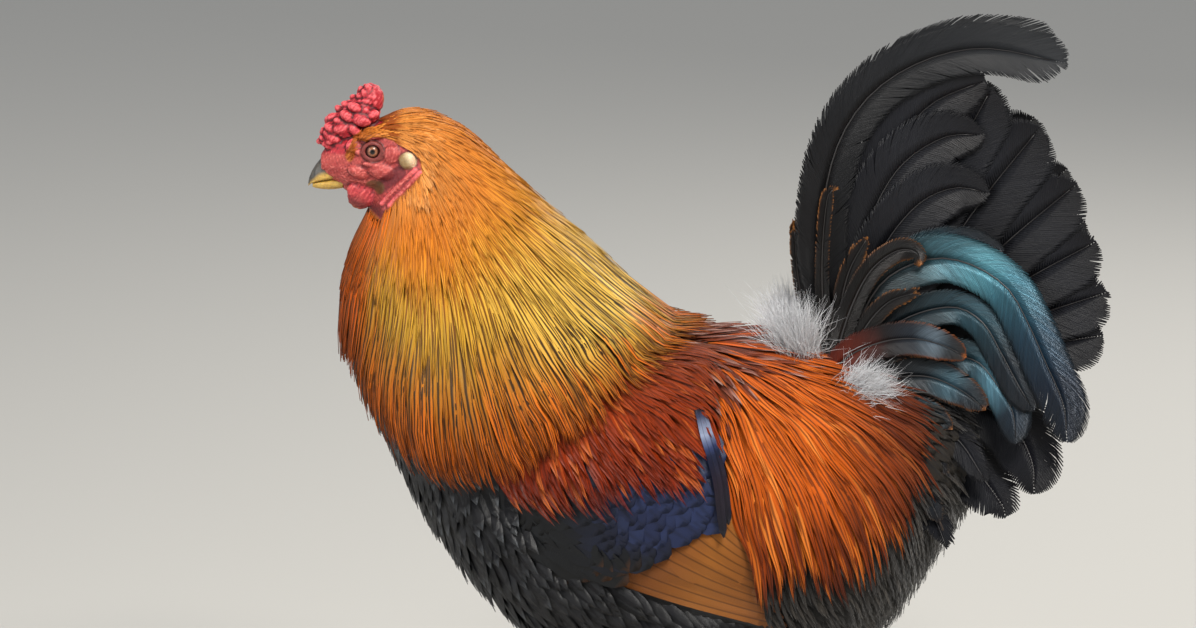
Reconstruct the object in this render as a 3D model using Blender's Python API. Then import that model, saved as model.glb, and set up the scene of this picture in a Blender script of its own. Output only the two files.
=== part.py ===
"""A rooster standing still: large fowl, rose comb, full tail, modelled life size.

The bird faces -X, its left side is -Y and +Z is up. The origin is on the floor, in the middle of the
model's length and breadth. Sizes below are in millimetres and turned to metres when a solid is made.
"""

import math

import bmesh
import bpy
import numpy as np
from mathutils import Matrix, Vector

MM = 0.001
GAP = 0.3  # clearance between neighbouring solids
SIDES = {"left": -1, "right": 1}

# The whole bird is moved by this much at the end, so that the origin is under its middle.
SHIFT = (1.1, 0.0, 0.0)

# Trunk with its coat: x, lowest z, highest z, half width
TRUNK_RINGS = [
    (-196, 258, 310, 30), (-180, 232, 330, 52), (-150, 187, 345, 74), (-110, 148, 352, 88),
    (-60, 131, 354, 97), (-10, 126, 352, 100), (40, 127, 346, 98), (80, 137, 335, 88),
    (115, 163, 322, 70), (145, 208, 315, 48), (166, 243, 305, 28),
]
TRUNK_FRONT, TRUNK_REAR = (-205, 0, 284), (178, 0, 276)
# Hackle cape: z, front x, back x, half width
CAPE_RINGS = [
    (480, -197, -168, 11), (470, -205, -148, 17), (455, -207, -130, 21.5), (440, -208, -115, 27.5),
    (422, -210, -97, 37), (400, -219, -71, 51), (375, -226, -46, 66), (350, -228, -18, 80),
    (325, -226, -20, 92), (300, -217, -35, 96), (275, -203, -60, 90), (255, -185, -90, 70),
]
CAPE_TOP, CAPE_BOTTOM = (-185, 0, 484), (-138, 0, 245)
# Head: x, lowest z, highest z, half width
HEAD_RINGS = [
    (-238, 446, 458, 7), (-232, 441, 465, 10), (-222, 436, 472, 13.5), (-210, 433, 477, 16),
    (-198, 431, 480, 18), (-185, 428, 482, 20), (-172, 425, 481, 22),
]
HEAD_FRONT, HEAD_REAR = (-240, 0, 452), (-160, 0, 455)
# Planes that part the head from the neck and the neck from the trunk: a point and the upper side
HEAD_PLANE = ((-186, 0, 445), (-0.844, 0, 0.537))
NECK_PLANE = ((-110, 0, 314), (-0.38, 0, 0.925))

UPPER_BILL = [
    (-228, 441, 459, 6.5), (-233, 440.5, 459.5, 6.2), (-238, 439.5, 456.5, 5.2),
    (-242, 438, 451.5, 3.8), (-245, 436.5, 445, 2.2),
]
UPPER_BILL_ENDS = (-226, 0, 450), (-246.8, 0, 436.8)
LOWER_BILL = [
    (-228, 435.5, 440, 5.5), (-234, 434.5, 439.4, 5), (-239, 434, 438.2, 3.8), (-243, 434.2, 436.8, 2.2),
]
LOWER_BILL_ENDS = (-226, 0, 438), (-245, 0, 435.4)

EYE_CENTRE, EYE_RADIUS = (-206, 11.6, 461.2), 6.5
# Comb lumps: centre x, y, z, then the half lengths along, across and up
COMB_LUMPS = [
    (-231, 0, 466, 8.5, 8, 7), (-223, 0, 474, 11, 12, 9), (-213, 0, 482, 11.5, 12, 11), (-207, 0, 491, 8, 8, 10),
]
WATTLE = ((-213.8, 8.5, 432), (8.8, 3.4, 8.6))
EARLOBE = ((-187, 20.6, 457), (6.5, 3.8, 5.8))

# Outlines in x, z of the saddle and of the folded wing, and how deep each lies in the trunk
SADDLE_OUTLINE = [
    (-25, 370), (98, 352), (125, 290), (143, 213), (107, 184), (70, 182), (23, 178), (0, 250), (-12, 300),
]
SADDLE_DEPTH = 7
WING_OUTLINE = [
    (-148, 248), (-140, 285), (-90, 315), (-20, 325), (40, 315), (90, 270), (112, 205), (100, 168),
    (60, 155), (0, 164), (-48, 178), (-95, 197), (-128, 222),
]
WING_DEPTH = 16

# Leg of the right side: the left one is its mirror image
THIGH = [(-14, 46, 205, 40), (-14, 47, 165, 39), (-14, 48, 138, 32), (-16, 48, 120, 22), (-18, 48, 108, 14.5),
         (-19, 48, 101, 11.5)]
SHANK = [(-19, 48, 103, 9), (-20, 48, 95, 10.5), (-23, 48, 84, 8.4), (-32, 49, 50, 7.4), (-39, 50, 24, 8.2),
         (-41, 50, 15, 8.6)]
SPUR = [(-32, 48, 45, 4.8), (-23, 42, 44, 4.2), (-15, 36, 45, 2.8), (-9, 31, 48, 1.0)]
PAD = (-42, 50, 9, 14)
# Toes: heading (degrees outward from straight ahead), length, radius at the root
TOES = [(0, 68, 7.0), (-40, 48, 6.2), (31, 53, 6.2), (165, 28, 5.2)]
CLAW_LENGTH = 15

# Tail: every feather is a thin plate on one tent-shaped surface, each in a layer of its own
TAIL_ROOT = (100, 300)
PLATE, PITCH = 0.9, 1.5
TENT_SPREAD, TENT_TOP = 0.35, 80
RIDGE = 1.0
LAYERS_SUNK = 7.6
# Places along a feather, closer at its tip
STATIONS = [0, 0.17, 0.34, 0.5, 0.65, 0.8, 0.92, 0.98, 1]
# Fan feathers: angle and reach of the tip from the root, width, layer
FAN = [(70, 213, 38, 7.2), (60, 204, 38, 6), (49, 189, 37, 5), (38.5, 174, 36, 4), (28.5, 163, 35, 3),
       (19, 153, 34, 2)]
# Curved feathers: centre line in x, z, then width and layer
CURVED = {
    "tail_sickle": ([(90, 300), (80, 345), (70, 396), (75, 450), (93, 490), (124, 517), (166, 529), (214, 521)],
                    27, 11.2),
    "tail_front": ([(96, 296), (92, 340), (94, 400), (108, 450), (134, 487), (164, 507)], 34, 8.6),
    "tail_arch_1": ([(84, 318), (92, 350), (108, 379), (135, 394), (159, 393), (182, 380), (195, 359), (206, 335),
                     (216, 310), (221, 284)], 28, 13.8),
    "tail_arch_2": ([(88, 312), (98, 336), (122, 356), (150, 365), (168, 357), (180, 338), (190, 320), (199, 308)],
                    20, 12),
    "tail_arch_3": ([(96, 300), (118, 320), (146, 333), (164, 333), (176, 321), (186, 305), (188, 288)], 20, 10.6),
    "tail_hook": ([(76, 318), (84, 352), (98, 384), (115, 399), (127, 399), (130, 391)], 15, 17),
    "tail_covert_1": ([(72, 316), (86, 334), (107, 343), (126, 346), (144, 343), (158, 338)], 18, 15.4),
    "tail_covert_2": ([(84, 304), (98, 314), (118, 321), (137, 322), (156, 315), (170, 306)], 21, 13),
    "undertail_1": ([(112, 298), (140, 306), (168, 303), (189, 290), (199, 272), (200, 257)], 34, -3),
    "undertail_2": ([(112, 280), (140, 276), (164, 264), (180, 246), (184, 230)], 32, -9),
}


# ---------------------------------------------------------------- scene and groups
for old in list(bpy.data.objects):
    bpy.data.objects.remove(old, do_unlink=True)
scene = bpy.context.scene
rooster = bpy.data.collections.new("rooster")
scene.collection.children.link(rooster)


# ---------------------------------------------------------------- helpers
def solid(name, points, faces):
    """A mesh object from points in millimetres, with its faces turned outward."""
    mesh = bpy.data.meshes.new(name)
    mesh.from_pydata([tuple(MM * c for c in p) for p in points], [], faces)
    bm = bmesh.new()
    bm.from_mesh(mesh)
    bmesh.ops.recalc_face_normals(bm, faces=bm.faces)
    bm.to_mesh(mesh)
    bm.free()
    obj = bpy.data.objects.new(name, mesh)
    rooster.objects.link(obj)
    return obj


def loft(name, rings, first, last):
    """Rings of points joined in order and closed to a point at each end."""
    k = len(rings[0])
    points = [first] + [p for ring in rings for p in ring] + [last]
    end = len(points) - 1
    faces = []
    for j in range(k):
        n = (j + 1) % k
        faces.append((0, 1 + n, 1 + j))
        for i in range(len(rings) - 1):
            a, b = 1 + i * k, 1 + (i + 1) * k
            faces += [(a + j, a + n, b + n), (a + j, b + n, b + j)]
        faces.append((end, end - k + j, end - k + n))
    return solid(name, points, faces)


def oval(k, power):
    """Unit ring of k points, squarer than a circle when the power is over 2."""
    ring = []
    for j in range(k):
        c, s = math.cos(2 * math.pi * (j + 0.5) / k), math.sin(2 * math.pi * (j + 0.5) / k)
        ring.append((math.copysign(abs(c) ** (2 / power), c), math.copysign(abs(s) ** (2 / power), s)))
    return ring


def along_x(name, stations, first, last, k, power=2.0, inset=0.0):
    """A loft through rings that stand across the x axis."""
    rings = []
    for x, low, high, half in stations:
        middle, up, out = (low + high) / 2, (high - low) / 2 - inset, half - inset
        rings.append([(x, out * c, middle + up * s) for c, s in oval(k, power)])
    return loft(name, rings, first, last)


def tube(name, path, k=10, first=None, last=None):
    """A round bar through points x, y, z, radius, closed to a point at each end."""
    centres = [Vector(p[:3]) for p in path]
    rings = []
    for i, centre in enumerate(centres):
        heading = (centres[min(i + 1, len(path) - 1)] - centres[max(i - 1, 0)]).normalized()
        side = heading.cross(Vector((0, 1, 0)) if abs(heading.y) < 0.8 else Vector((0, 0, 1))).normalized()
        other = heading.cross(side)
        rings.append([tuple(centre + path[i][3] * (c * side + s * other)) for c, s in oval(k, 2)])
    start = first or tuple(centres[0] - (centres[1] - centres[0]).normalized() * path[0][3] * 0.5)
    end = last or tuple(centres[-1] + (centres[-1] - centres[-2]).normalized() * path[-1][3] * 0.5)
    return loft(name, rings, start, end)


def ball(name, centre, radii, level=2):
    bm = bmesh.new()
    bmesh.ops.create_icosphere(bm, subdivisions=level, radius=1)
    points = [tuple(c + r * v for c, r, v in zip(centre, radii, vert.co)) for vert in bm.verts]
    faces = [tuple(v.index for v in face.verts) for face in bm.faces]
    bm.free()
    return solid(name, points, faces)


def settle(obj):
    """Makes the modifiers' result the object's own mesh."""
    graph = bpy.context.evaluated_depsgraph_get()
    mesh = bpy.data.meshes.new_from_object(obj.evaluated_get(graph))
    obj.modifiers.clear()
    obj.data = mesh


def copy(obj, name):
    twin = bpy.data.objects.new(name, obj.data.copy())
    rooster.objects.link(twin)
    return twin


def drop(*objs):
    for obj in objs:
        bpy.data.objects.remove(obj, do_unlink=True)


def boolean(obj, other, operation):
    mod = obj.modifiers.new(operation.title(), "BOOLEAN")
    mod.operation, mod.solver, mod.object = operation, "EXACT", other
    settle(obj)


def join(obj, *others):
    for other in others:
        boolean(obj, other, "UNION")
        drop(other)
    return obj


def grown(obj, by):
    """A copy whose faces are moved outward by a distance."""
    twin = copy(obj, obj.name + "_grown")
    mod = twin.modifiers.new("Grow", "DISPLACE")
    mod.strength, mod.mid_level = by * MM, 0
    settle(twin)
    return twin


def clear_of(obj, *others, gap=GAP):
    """Cuts neighbours out of a solid, leaving a gap."""
    for other in others:
        cutter = grown(other, gap)
        boolean(obj, cutter, "DIFFERENCE")
        drop(cutter)
    return obj


def keep_side(obj, plane, offset, upper=True):
    """Cuts a solid by a plane and keeps one side of it, closed."""
    normal = Vector(plane[1]).normalized() * (1 if upper else -1)
    point = (Vector(plane[0]) + normal * offset) * MM
    bm = bmesh.new()
    bm.from_mesh(obj.data)
    parts = bm.verts[:] + bm.edges[:] + bm.faces[:]
    cut = bmesh.ops.bisect_plane(bm, geom=parts, dist=1e-7, plane_co=point, plane_no=normal, clear_inner=True)
    rim = [e for e in cut["geom_cut"] if isinstance(e, bmesh.types.BMEdge)]
    bmesh.ops.contextual_create(bm, geom=rim)
    bmesh.ops.triangulate(bm, faces=[f for f in bm.faces if len(f.verts) > 4])
    bmesh.ops.recalc_face_normals(bm, faces=bm.faces)
    bm.to_mesh(obj.data)
    bm.free()
    return obj


def prism(name, outline, y_from, y_to, grow=0.0):
    """An outline in x, z carried across from one y to another, grown sideways by a distance."""
    middle = Vector((sum(p[0] for p in outline) / len(outline), sum(p[1] for p in outline) / len(outline)))
    ring = [Vector(p) + (Vector(p) - middle).normalized() * grow for p in outline]
    k = len(ring)
    points = [(p.x, y_from, p.y) for p in ring] + [(p.x, y_to, p.y) for p in ring]
    faces = [tuple(range(k)), tuple(range(2 * k - 1, k - 1, -1))]
    faces += [(j, (j + 1) % k, k + (j + 1) % k, k + j) for j in range(k)]
    return solid(name, points, faces)


def mirrored(obj, name):
    twin = copy(obj, name)
    twin.data.transform(Matrix.Scale(-1, 4, (0, 1, 0)))
    twin.data.flip_normals()
    return twin


# ---------------------------------------------------------------- trunk, neck and head
def shell(outline, depth, y_from, y_to, grow):
    """The part of a prism that lies outside the trunk's form taken in by a depth."""
    cutter = prism("cutter", outline, y_from - grow, y_to + grow, grow)
    core = along_x("core", TRUNK_RINGS, TRUNK_FRONT, TRUNK_REAR, 16, 2.2, inset=depth + grow)
    boolean(cutter, core, "DIFFERENCE")
    drop(core)
    return cutter


def part_of(obj, name, cutter):
    piece = copy(obj, name)
    boolean(piece, cutter, "INTERSECT")
    return piece


whole = along_x("whole", TRUNK_RINGS, TRUNK_FRONT, TRUNK_REAR, 16, 2.2)
cape_rings = [[((front + back) / 2 + (back - front) / 2 * c, half * s, z) for c, s in oval(16, 2.1)]
              for z, front, back, half in CAPE_RINGS]
cape = loft("cape", cape_rings, CAPE_TOP, CAPE_BOTTOM)
skull = along_x("skull", HEAD_RINGS, HEAD_FRONT, HEAD_REAR, 14, 2.1)
join(whole, cape, skull)

head = keep_side(copy(whole, "head"), HEAD_PLANE, GAP / 2)
neck = keep_side(copy(whole, "neck"), HEAD_PLANE, GAP / 2, upper=False)
keep_side(neck, NECK_PLANE, GAP / 2)
trunk = keep_side(copy(whole, "trunk"), NECK_PLANE, GAP / 2, upper=False)

for name, outline, depth, y_from, y_to in (
    ("saddle", SADDLE_OUTLINE, SADDLE_DEPTH, -140, 140),
    ("wing_left", WING_OUTLINE, WING_DEPTH, -140, -20),
    ("wing_right", WING_OUTLINE, WING_DEPTH, 20, 140),
):
    inner = shell(outline, depth, y_from, y_to, -GAP / 2)
    outer = shell(outline, depth, y_from, y_to, GAP / 2)
    part_of(trunk, name, inner)
    boolean(trunk, outer, "DIFFERENCE")
    drop(inner, outer)

# ---------------------------------------------------------------- bill, comb, eyes, wattles, ear lobes
bill_upper = along_x("bill_upper", UPPER_BILL, *UPPER_BILL_ENDS, 12)
bill_lower = along_x("bill_lower", LOWER_BILL, *LOWER_BILL_ENDS, 12)
comb = join(*[ball("comb", lump[:3], lump[3:]) for lump in COMB_LUMPS])
clear_of(comb, bill_upper, whole)
clear_of(head, bill_upper, bill_lower)
for side, sign in SIDES.items():
    x, y, z = EYE_CENTRE
    eye = ball(f"eye_{side}", (x, sign * y, z), (EYE_RADIUS,) * 3)
    clear_of(head, eye)
    for name, (centre, radii) in (("wattle", WATTLE), ("earlobe", EARLOBE)):
        piece = ball(f"{name}_{side}", (centre[0], sign * centre[1], centre[2]), radii)
        clear_of(piece, whole, bill_lower)

# ---------------------------------------------------------------- legs
shank = join(tube("shank_right", SHANK), tube("spur", SPUR, 8))
thigh = tube("thigh_right", THIGH, 12)
clear_of(thigh, whole, shank)
foot = ball("foot_right", PAD[:3], (PAD[3], PAD[3] * 0.85, PAD[3] * 0.75))
for turn, length, radius in TOES:
    a = math.radians(turn)
    ahead = Vector((-math.cos(a), math.sin(a), 0))
    start = Vector((PAD[0], PAD[1], radius * 0.95))
    tip = start + ahead * length
    claw = tip + ahead * CLAW_LENGTH
    path = [(*start, radius * 1.1), (*(start + ahead * length * 0.55), radius * 0.95), (*tip, radius * 0.78),
            (*(tip + ahead * CLAW_LENGTH * 0.45 + Vector((0, 0, 0.8))), radius * 0.42)]
    join(foot, tube("toe", path, 8, last=(claw.x, claw.y, 1.2)))
clear_of(foot, shank)
keep_side(foot, ((0, 0, 0), (0, 0, 1)), 0)
for name in ("shank", "thigh", "foot"):
    mirrored(bpy.data.objects[f"{name}_right"], f"{name}_left")


# ---------------------------------------------------------------- tail
def smooth_path(points, at):
    """Points at the given fractions of the length of a smooth curve through the given ones."""
    p = np.array(points, float)
    p = np.vstack([2 * p[0] - p[1], p, 2 * p[-1] - p[-2]])
    fine = []
    for a, b, c, d in zip(p[:-3], p[1:-2], p[2:-1], p[3:]):
        t = np.linspace(0, 1, 12, endpoint=False)[:, None]
        fine.append(0.5 * (2 * b + (c - a) * t + (2 * a - 5 * b + 4 * c - d) * t**2 + (3 * b - a - 3 * c + d) * t**3))
    fine = np.vstack([*fine, p[-2:-1]])
    s = np.concatenate([[0], np.cumsum(np.linalg.norm(np.diff(fine, axis=0), axis=1))])
    at = np.array(at) * s[-1]
    return np.stack([np.interp(at, s, fine[:, 0]), np.interp(at, s, fine[:, 1])], axis=1)


def tent(x, z, layer):
    """Distance from the middle plane of a tail layer over the point x, z.

    The layers stand apart at the root and sink toward the ridge further out, where fewer of them overlap.
    """
    dx, dz = x - TAIL_ROOT[0], z - TAIL_ROOT[1]
    r, angle = math.hypot(dx, dz), math.degrees(math.atan2(dz, dx))
    u = (TENT_TOP - angle) / TENT_TOP
    open_ = (u + math.sqrt(u * u + 0.008)) / 2
    t = min(max((r - 10) / 60, 0), 1)
    sink = LAYERS_SUNK * t * t * (3 - 2 * t) * (1 - open_)
    return RIDGE + TENT_SPREAD * r * open_ + PITCH * (layer - sink)


def feather(name, points, width, layer, sign):
    """A plate with a round tip that follows a centre line on one layer of the tail."""
    path = smooth_path(points, STATIONS)
    step = np.gradient(path, axis=0)
    normal = np.stack([-step[:, 1], step[:, 0]], axis=1) / np.linalg.norm(step, axis=1)[:, None]
    outer, inner = [], []
    for s, centre, n in zip(STATIONS[:-1], path[:-1], normal):
        half = width / 2 * min(0.55 + 1.6 * s, 1) * math.sqrt(1 - max((s - 0.82) / 0.184, 0) ** 2)
        for t in (-1, 0, 1):
            x, z = centre + n * half * t
            y = tent(x, z, layer)
            outer.append((x, sign * (y + PLATE / 2), z))
            inner.append((x, sign * (y - PLATE / 2), z))
    x, z = path[-1]
    y = tent(x, z, layer)
    outer.append((x, sign * (y + PLATE / 2), z))
    inner.append((x, sign * (y - PLATE / 2), z))
    m, last = len(outer), len(STATIONS) - 2
    faces = []
    for i in range(last):
        for j in (0, 1):
            a = 3 * i + j
            faces.append((a, a + 1, a + 4, a + 3))
            faces.append((m + a, m + a + 3, m + a + 4, m + a + 1))
        for a in (3 * i, 3 * i + 2):
            faces.append((a, a + 3, m + a + 3, m + a))
    tip = m - 1
    for j in (0, 1):
        a = 3 * last + j
        faces += [(a, a + 1, tip), (m + a + 1, m + a, m + tip), (j, j + 1, m + j + 1, m + j)]
    for a in (3 * last, 3 * last + 2):
        faces.append((a, tip, m + tip, m + a))
    return solid(name, points=outer + inner, faces=faces)


coat = grown(whole, GAP)
for side, sign in SIDES.items():
    plates = []
    for number, (angle, reach, width, layer) in enumerate(FAN, 1):
        line = []
        for f in (0.12, 0.4, 0.7, 1):
            a = math.radians(angle + 9 * (1 - f))
            line.append((TAIL_ROOT[0] + reach * f * math.cos(a), TAIL_ROOT[1] + reach * f * math.sin(a)))
        plates.append(feather(f"tail_fan_{number}_{side}", line, width, layer, sign))
    for name, (line, width, layer) in CURVED.items():
        plates.append(feather(f"{name}_{side}", line, width, layer, sign))
    for plate in plates:
        boolean(plate, coat, "DIFFERENCE")
drop(coat, whole)

for obj in rooster.objects:
    obj.data.transform(Matrix.Translation(Vector(SHIFT) * MM))
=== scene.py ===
# %% [markdown]
# # A rooster, feather by feather
# The solids that come with the frame give this bird its size and stance. This lesson clothes them: one
# skin from the comb to the toes, glass-bright eyes, a horn bill, some nine thousand feathers and seven
# thousand strands of down. Each is a thin closed blade that grows from the skin and follows its
# neighbours. Everything is made in the solids' own place, so nothing is moved to fit at the end.

# %% Load the frame
import math

import bmesh
import bpy
import numpy as np
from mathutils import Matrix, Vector
from mathutils.bvhtree import BVHTree


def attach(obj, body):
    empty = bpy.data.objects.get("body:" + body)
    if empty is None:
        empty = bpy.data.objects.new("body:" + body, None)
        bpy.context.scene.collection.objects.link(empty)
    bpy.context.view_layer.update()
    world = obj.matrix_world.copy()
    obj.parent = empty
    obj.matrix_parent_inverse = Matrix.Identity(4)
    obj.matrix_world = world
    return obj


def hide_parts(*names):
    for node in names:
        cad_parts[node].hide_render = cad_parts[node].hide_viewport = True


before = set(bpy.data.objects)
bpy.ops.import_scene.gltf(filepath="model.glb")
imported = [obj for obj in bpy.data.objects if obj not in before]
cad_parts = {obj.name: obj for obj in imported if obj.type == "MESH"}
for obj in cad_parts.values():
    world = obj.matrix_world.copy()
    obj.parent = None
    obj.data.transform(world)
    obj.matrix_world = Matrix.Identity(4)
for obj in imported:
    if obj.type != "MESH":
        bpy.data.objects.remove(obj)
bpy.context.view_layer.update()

# %% [markdown]
# A bird is measured in millimetres and the scene in metres, so each length passes through one value.
# `place` takes a point of the bird's plan to the scene. Random numbers come from one seeded source, so
# each run gives the same bird.

# %% Units and small helpers
MM = 0.001
PLAN_SHIFT = np.array((1.1, 0, 0))
SIDES = {"left": -1, "right": 1}
UP = np.array((0, 0, 1))
chance = np.random.default_rng(7)
scene = bpy.context.scene


def place(point):
    """A point of the plan, in millimetres, as a place in the scene."""
    return Vector((np.asarray(point, float) + PLAN_SHIFT) * MM)


def linear(code):
    """A screen colour such as "#c8642a" as the linear colour that light uses."""
    parts = [int(code[i:i + 2], 16) / 255 for i in (1, 3, 5)]
    return np.array([c / 12.92 if c <= 0.04045 else ((c + 0.055) / 1.055) ** 2.4 for c in parts])


def ramp(value, low, high):
    """0 at low, 1 at high, and a smooth rise between."""
    t = np.clip((np.asarray(value, float) - low) / (high - low), 0, 1)
    return t * t * (3 - 2 * t)


def unit(vectors):
    """The same directions, each of length 1."""
    return vectors / np.maximum(np.linalg.norm(vectors, axis=-1, keepdims=True), 1e-9)


def values(given):
    """A point, a share or a colour as numbers. A screen colour becomes linear."""
    return linear(given) if isinstance(given, str) else np.asarray(given, float)


def mix(first, second, share):
    """A blend of two points or colours: first where share is 0, second where it is 1."""
    first, second, share = values(first), values(second), values(share)
    if share.ndim and 3 in (first.shape[-1:] + second.shape[-1:]):
        share = share[..., None]
    return first + (second - first) * share


def painted(colours, *coats):
    """Colours with coats laid over them in turn. A coat is a colour and its share at each point."""
    for colour, share in coats:
        colours = mix(colours, colour, share)
    return colours


def read(items, key, size=3, kind=float):
    """One value of every item of a mesh, such as its points' places, as an array."""
    values = np.empty(len(items) * size, kind)
    items.foreach_get(key, values)
    return values.reshape(-1, size)


# %% [markdown]
# An operator works on what is selected, so each function that calls one first selects its own object and
# nothing else. `finished` is the last step of a piece: its name, finish and the body it rides on.

# %% Helpers that handle objects
def linked(name, data):
    """A new object of the scene that holds this data."""
    obj = bpy.data.objects.new(name, data)
    scene.collection.objects.link(obj)
    return obj


def only(obj):
    """Selects this object alone and makes it active."""
    bpy.ops.object.select_all(action="DESELECT")
    obj.select_set(True)
    bpy.context.view_layer.objects.active = obj
    return obj


def primitive(kind, **settings):
    """A new mesh object of one of Blender's own shapes."""
    bpy.ops.object.select_all(action="DESELECT")
    getattr(bpy.ops.mesh, f"primitive_{kind}_add")(**settings)
    return bpy.context.object


def settle(obj):
    """Puts the object's place into its mesh, so the object sits at the origin."""
    only(obj)
    bpy.ops.object.transform_apply(location=True, rotation=True, scale=True)
    return obj


def joined(objects):
    """Joins objects into one mesh."""
    bpy.ops.object.select_all(action="DESELECT")
    for obj in objects:
        obj.select_set(True)
    bpy.context.view_layer.objects.active = objects[0]
    bpy.ops.object.transform_apply(location=True, rotation=True, scale=True)
    bpy.ops.object.join()
    return bpy.context.object


def edited(obj, *steps):
    """The object after steps in edit mode, each an operator and its settings."""
    only(obj)
    bpy.ops.object.mode_set(mode="EDIT")
    for operator, settings in steps:
        bpy.ops.mesh.select_all(action="SELECT")
        operator(**settings)
    bpy.ops.object.mode_set(mode="OBJECT")
    return obj


def cut_off(obj, *planes):
    """The object cut at planes and closed: each a point and the direction of what goes."""
    ways = {"clear_outer": True, "use_fill": True}
    return edited(obj, *((bpy.ops.mesh.bisect, {"plane_co": place(point), "plane_no": outward, **ways})
                         for point, outward in planes))


def modified(obj, kind, **settings):
    """The object with a modifier of that kind applied to its mesh."""
    only(obj)
    modifier = obj.modifiers.new(kind.lower(), kind)
    for key, value in settings.items():
        setattr(modifier, key, value)
    bpy.ops.object.modifier_apply(modifier=modifier.name)
    return obj


def shaded_smooth(obj):
    """Shades all faces of the object smooth."""
    only(obj)
    bpy.ops.object.shade_smooth()
    return obj


def finished(obj, name, slot, material, *replaced):
    """Names a piece, gives it its finish and lets it ride on the bird's one body."""
    obj.name = obj.data.name = name
    obj.data.materials.clear()
    obj.data.materials.append(material)
    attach(obj, "root")
    if replaced:
        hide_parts(*replaced)
    return obj


def plan_points(obj):
    """The object's points in the plan's millimetres."""
    return read(obj.data.vertices, "co") / MM - PLAN_SHIFT


def set_plan_points(obj, points):
    """Moves the object's points to places given in the plan's millimetres."""
    obj.data.vertices.foreach_set("co", ((points + PLAN_SHIFT) * MM).ravel())
    obj.data.update()


def point_normals(obj):
    """The direction outward at each of the object's points."""
    return read(obj.data.vertices, "normal")


# %% [markdown]
# A pale floor runs on behind the bird, so there is no horizon. The camera looks at its left side from
# slightly above, with a long lens that keeps the proportions true.

# %% Camera and floor
LOOK_AT = Vector((-0.0669, 0, 0.356))
CAMERA_RISE = math.radians(12)
CAMERA_DISTANCE = 3
LENS, FILM = 145.6, 36
FLOOR_SIZE = 24


def turned_to(obj, target):
    """Turns a camera or a lamp so that it looks at a place."""
    obj.rotation_euler = (Vector(target) - obj.location).to_track_quat("-Z", "Y").to_euler()
    return obj


camera = linked("camera", bpy.data.cameras.new("camera"))
camera.data.lens = LENS
camera.data.sensor_width = FILM
camera.location = LOOK_AT + CAMERA_DISTANCE * Vector((0, -math.cos(CAMERA_RISE), math.sin(CAMERA_RISE)))
scene.camera = turned_to(camera, LOOK_AT)
scene.view_settings.view_transform = "Standard"

floor = primitive("plane", size=FLOOR_SIZE)
floor.name = "floor"
print("camera at", [round(c, 3) for c in camera.location])

# %% [markdown]
# A large soft lamp stands high on the camera's side towards the tail, so the hackle and tail catch a
# sheen and the belly falls into shade. A weaker one fills the front and a third skims the back.

# %% Lights
LIT_PLACE = (-0.02, 0, 0.3)


def area_light(name, position, size, watts, colour):
    """A square lamp that faces the bird."""
    lamp = linked(name, bpy.data.lights.new(name, "AREA"))
    lamp.data.size = size
    lamp.data.energy = watts
    lamp.data.color = colour
    lamp.location = position
    return turned_to(lamp, LIT_PLACE)


area_light("key", (0.55, -1.5, 2.1), 0.7, 74, (1, 0.97, 0.92))
area_light("fill", (-1.7, -1.6, 1.1), 1.6, 20, (0.95, 0.97, 1))
area_light("rim", (0.9, 1.7, 1.6), 1, 18, (1, 0.98, 0.95))
scene.world = bpy.data.worlds.new("studio")
scene.world.use_nodes = True
surround = scene.world.node_tree.nodes["Background"]
surround.inputs["Color"].default_value = (0.9, 0.94, 1, 1)
surround.inputs["Strength"].default_value = 0.45


# %% [markdown]
# Every finish is a small graph of nodes, built with one function that adds a node. A number that is the
# same all over a surface is set on the shader.

# %% Nodes
def add(tree, kind, settings=None, **inputs):
    """Adds a shader node. An input is a value, a node or its output. in6 is input 6, and _ is a space."""
    node = tree.nodes.new("ShaderNode" + kind)
    for key, value in (settings or {}).items():
        setattr(node, key, value)
    for key, value in inputs.items():
        numbered = key.startswith("in") and key[2:].isdigit()
        socket = node.inputs[int(key[2:]) if numbered else key.replace("_", " ")]
        if isinstance(value, bpy.types.Node):
            value = value.outputs[0]
        if isinstance(value, bpy.types.NodeSocket):
            tree.links.new(value, socket)
        else:
            socket.default_value = value
    return node


def new_finish(name, **settings):
    """A material with one Principled shader, and the tree to build on."""
    material = bpy.data.materials.new(name)
    material.use_nodes = True
    tree = material.node_tree
    shader = tree.nodes["Principled BSDF"]
    for key, value in settings.items():
        shader.inputs[key.replace("_", " ")].default_value = value
    return material, tree, shader


def rgba(code):
    """A screen colour as a socket takes it, linear and opaque."""
    return (*linear(code), 1)


def blend(tree, share, first, second):
    """Two colours blended by a node: first where share is 0, second where it is 1."""
    return add(tree, "Mix", {"data_type": "RGBA"}, in0=share, in6=first, in7=second).outputs[2]


def scaled_colour(tree, shader, colour, factor):
    """Gives the shader a colour made darker or lighter by a factor."""
    shade = add(tree, "VectorMath", {"operation": "SCALE"}, Vector=colour, Scale=factor)
    tree.links.new(shade.outputs[0], shader.inputs["Base Color"])


def raised(tree, shader, height, strength, distance):
    """Gives the shader a fine relief. distance is its real height, in metres."""
    bump = add(tree, "Bump", Strength=strength, Distance=distance, Height=height)
    tree.links.new(bump.outputs[0], shader.inputs["Normal"])


# %% Floor finish: matt studio paper
def paper_finish():
    """Seamless paper: pale and matt, with a faint grain."""
    material, tree, shader = new_finish("studio_paper", Roughness=0.9)
    here = add(tree, "TexCoord")
    grain = add(tree, "TexNoise", Vector=here.outputs["Object"], Scale=180, Detail=3)
    tone = add(tree, "MapRange", Value=grain, To_Min=0.985, To_Max=1)
    colour = blend(tree, tone, rgba("#a19e97"), rgba("#c4c1ba"))
    tree.links.new(colour, shader.inputs["Base Color"])
    return material


floor.data.materials.append(paper_finish())
print("floor", floor.data.materials[0].name)

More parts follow.
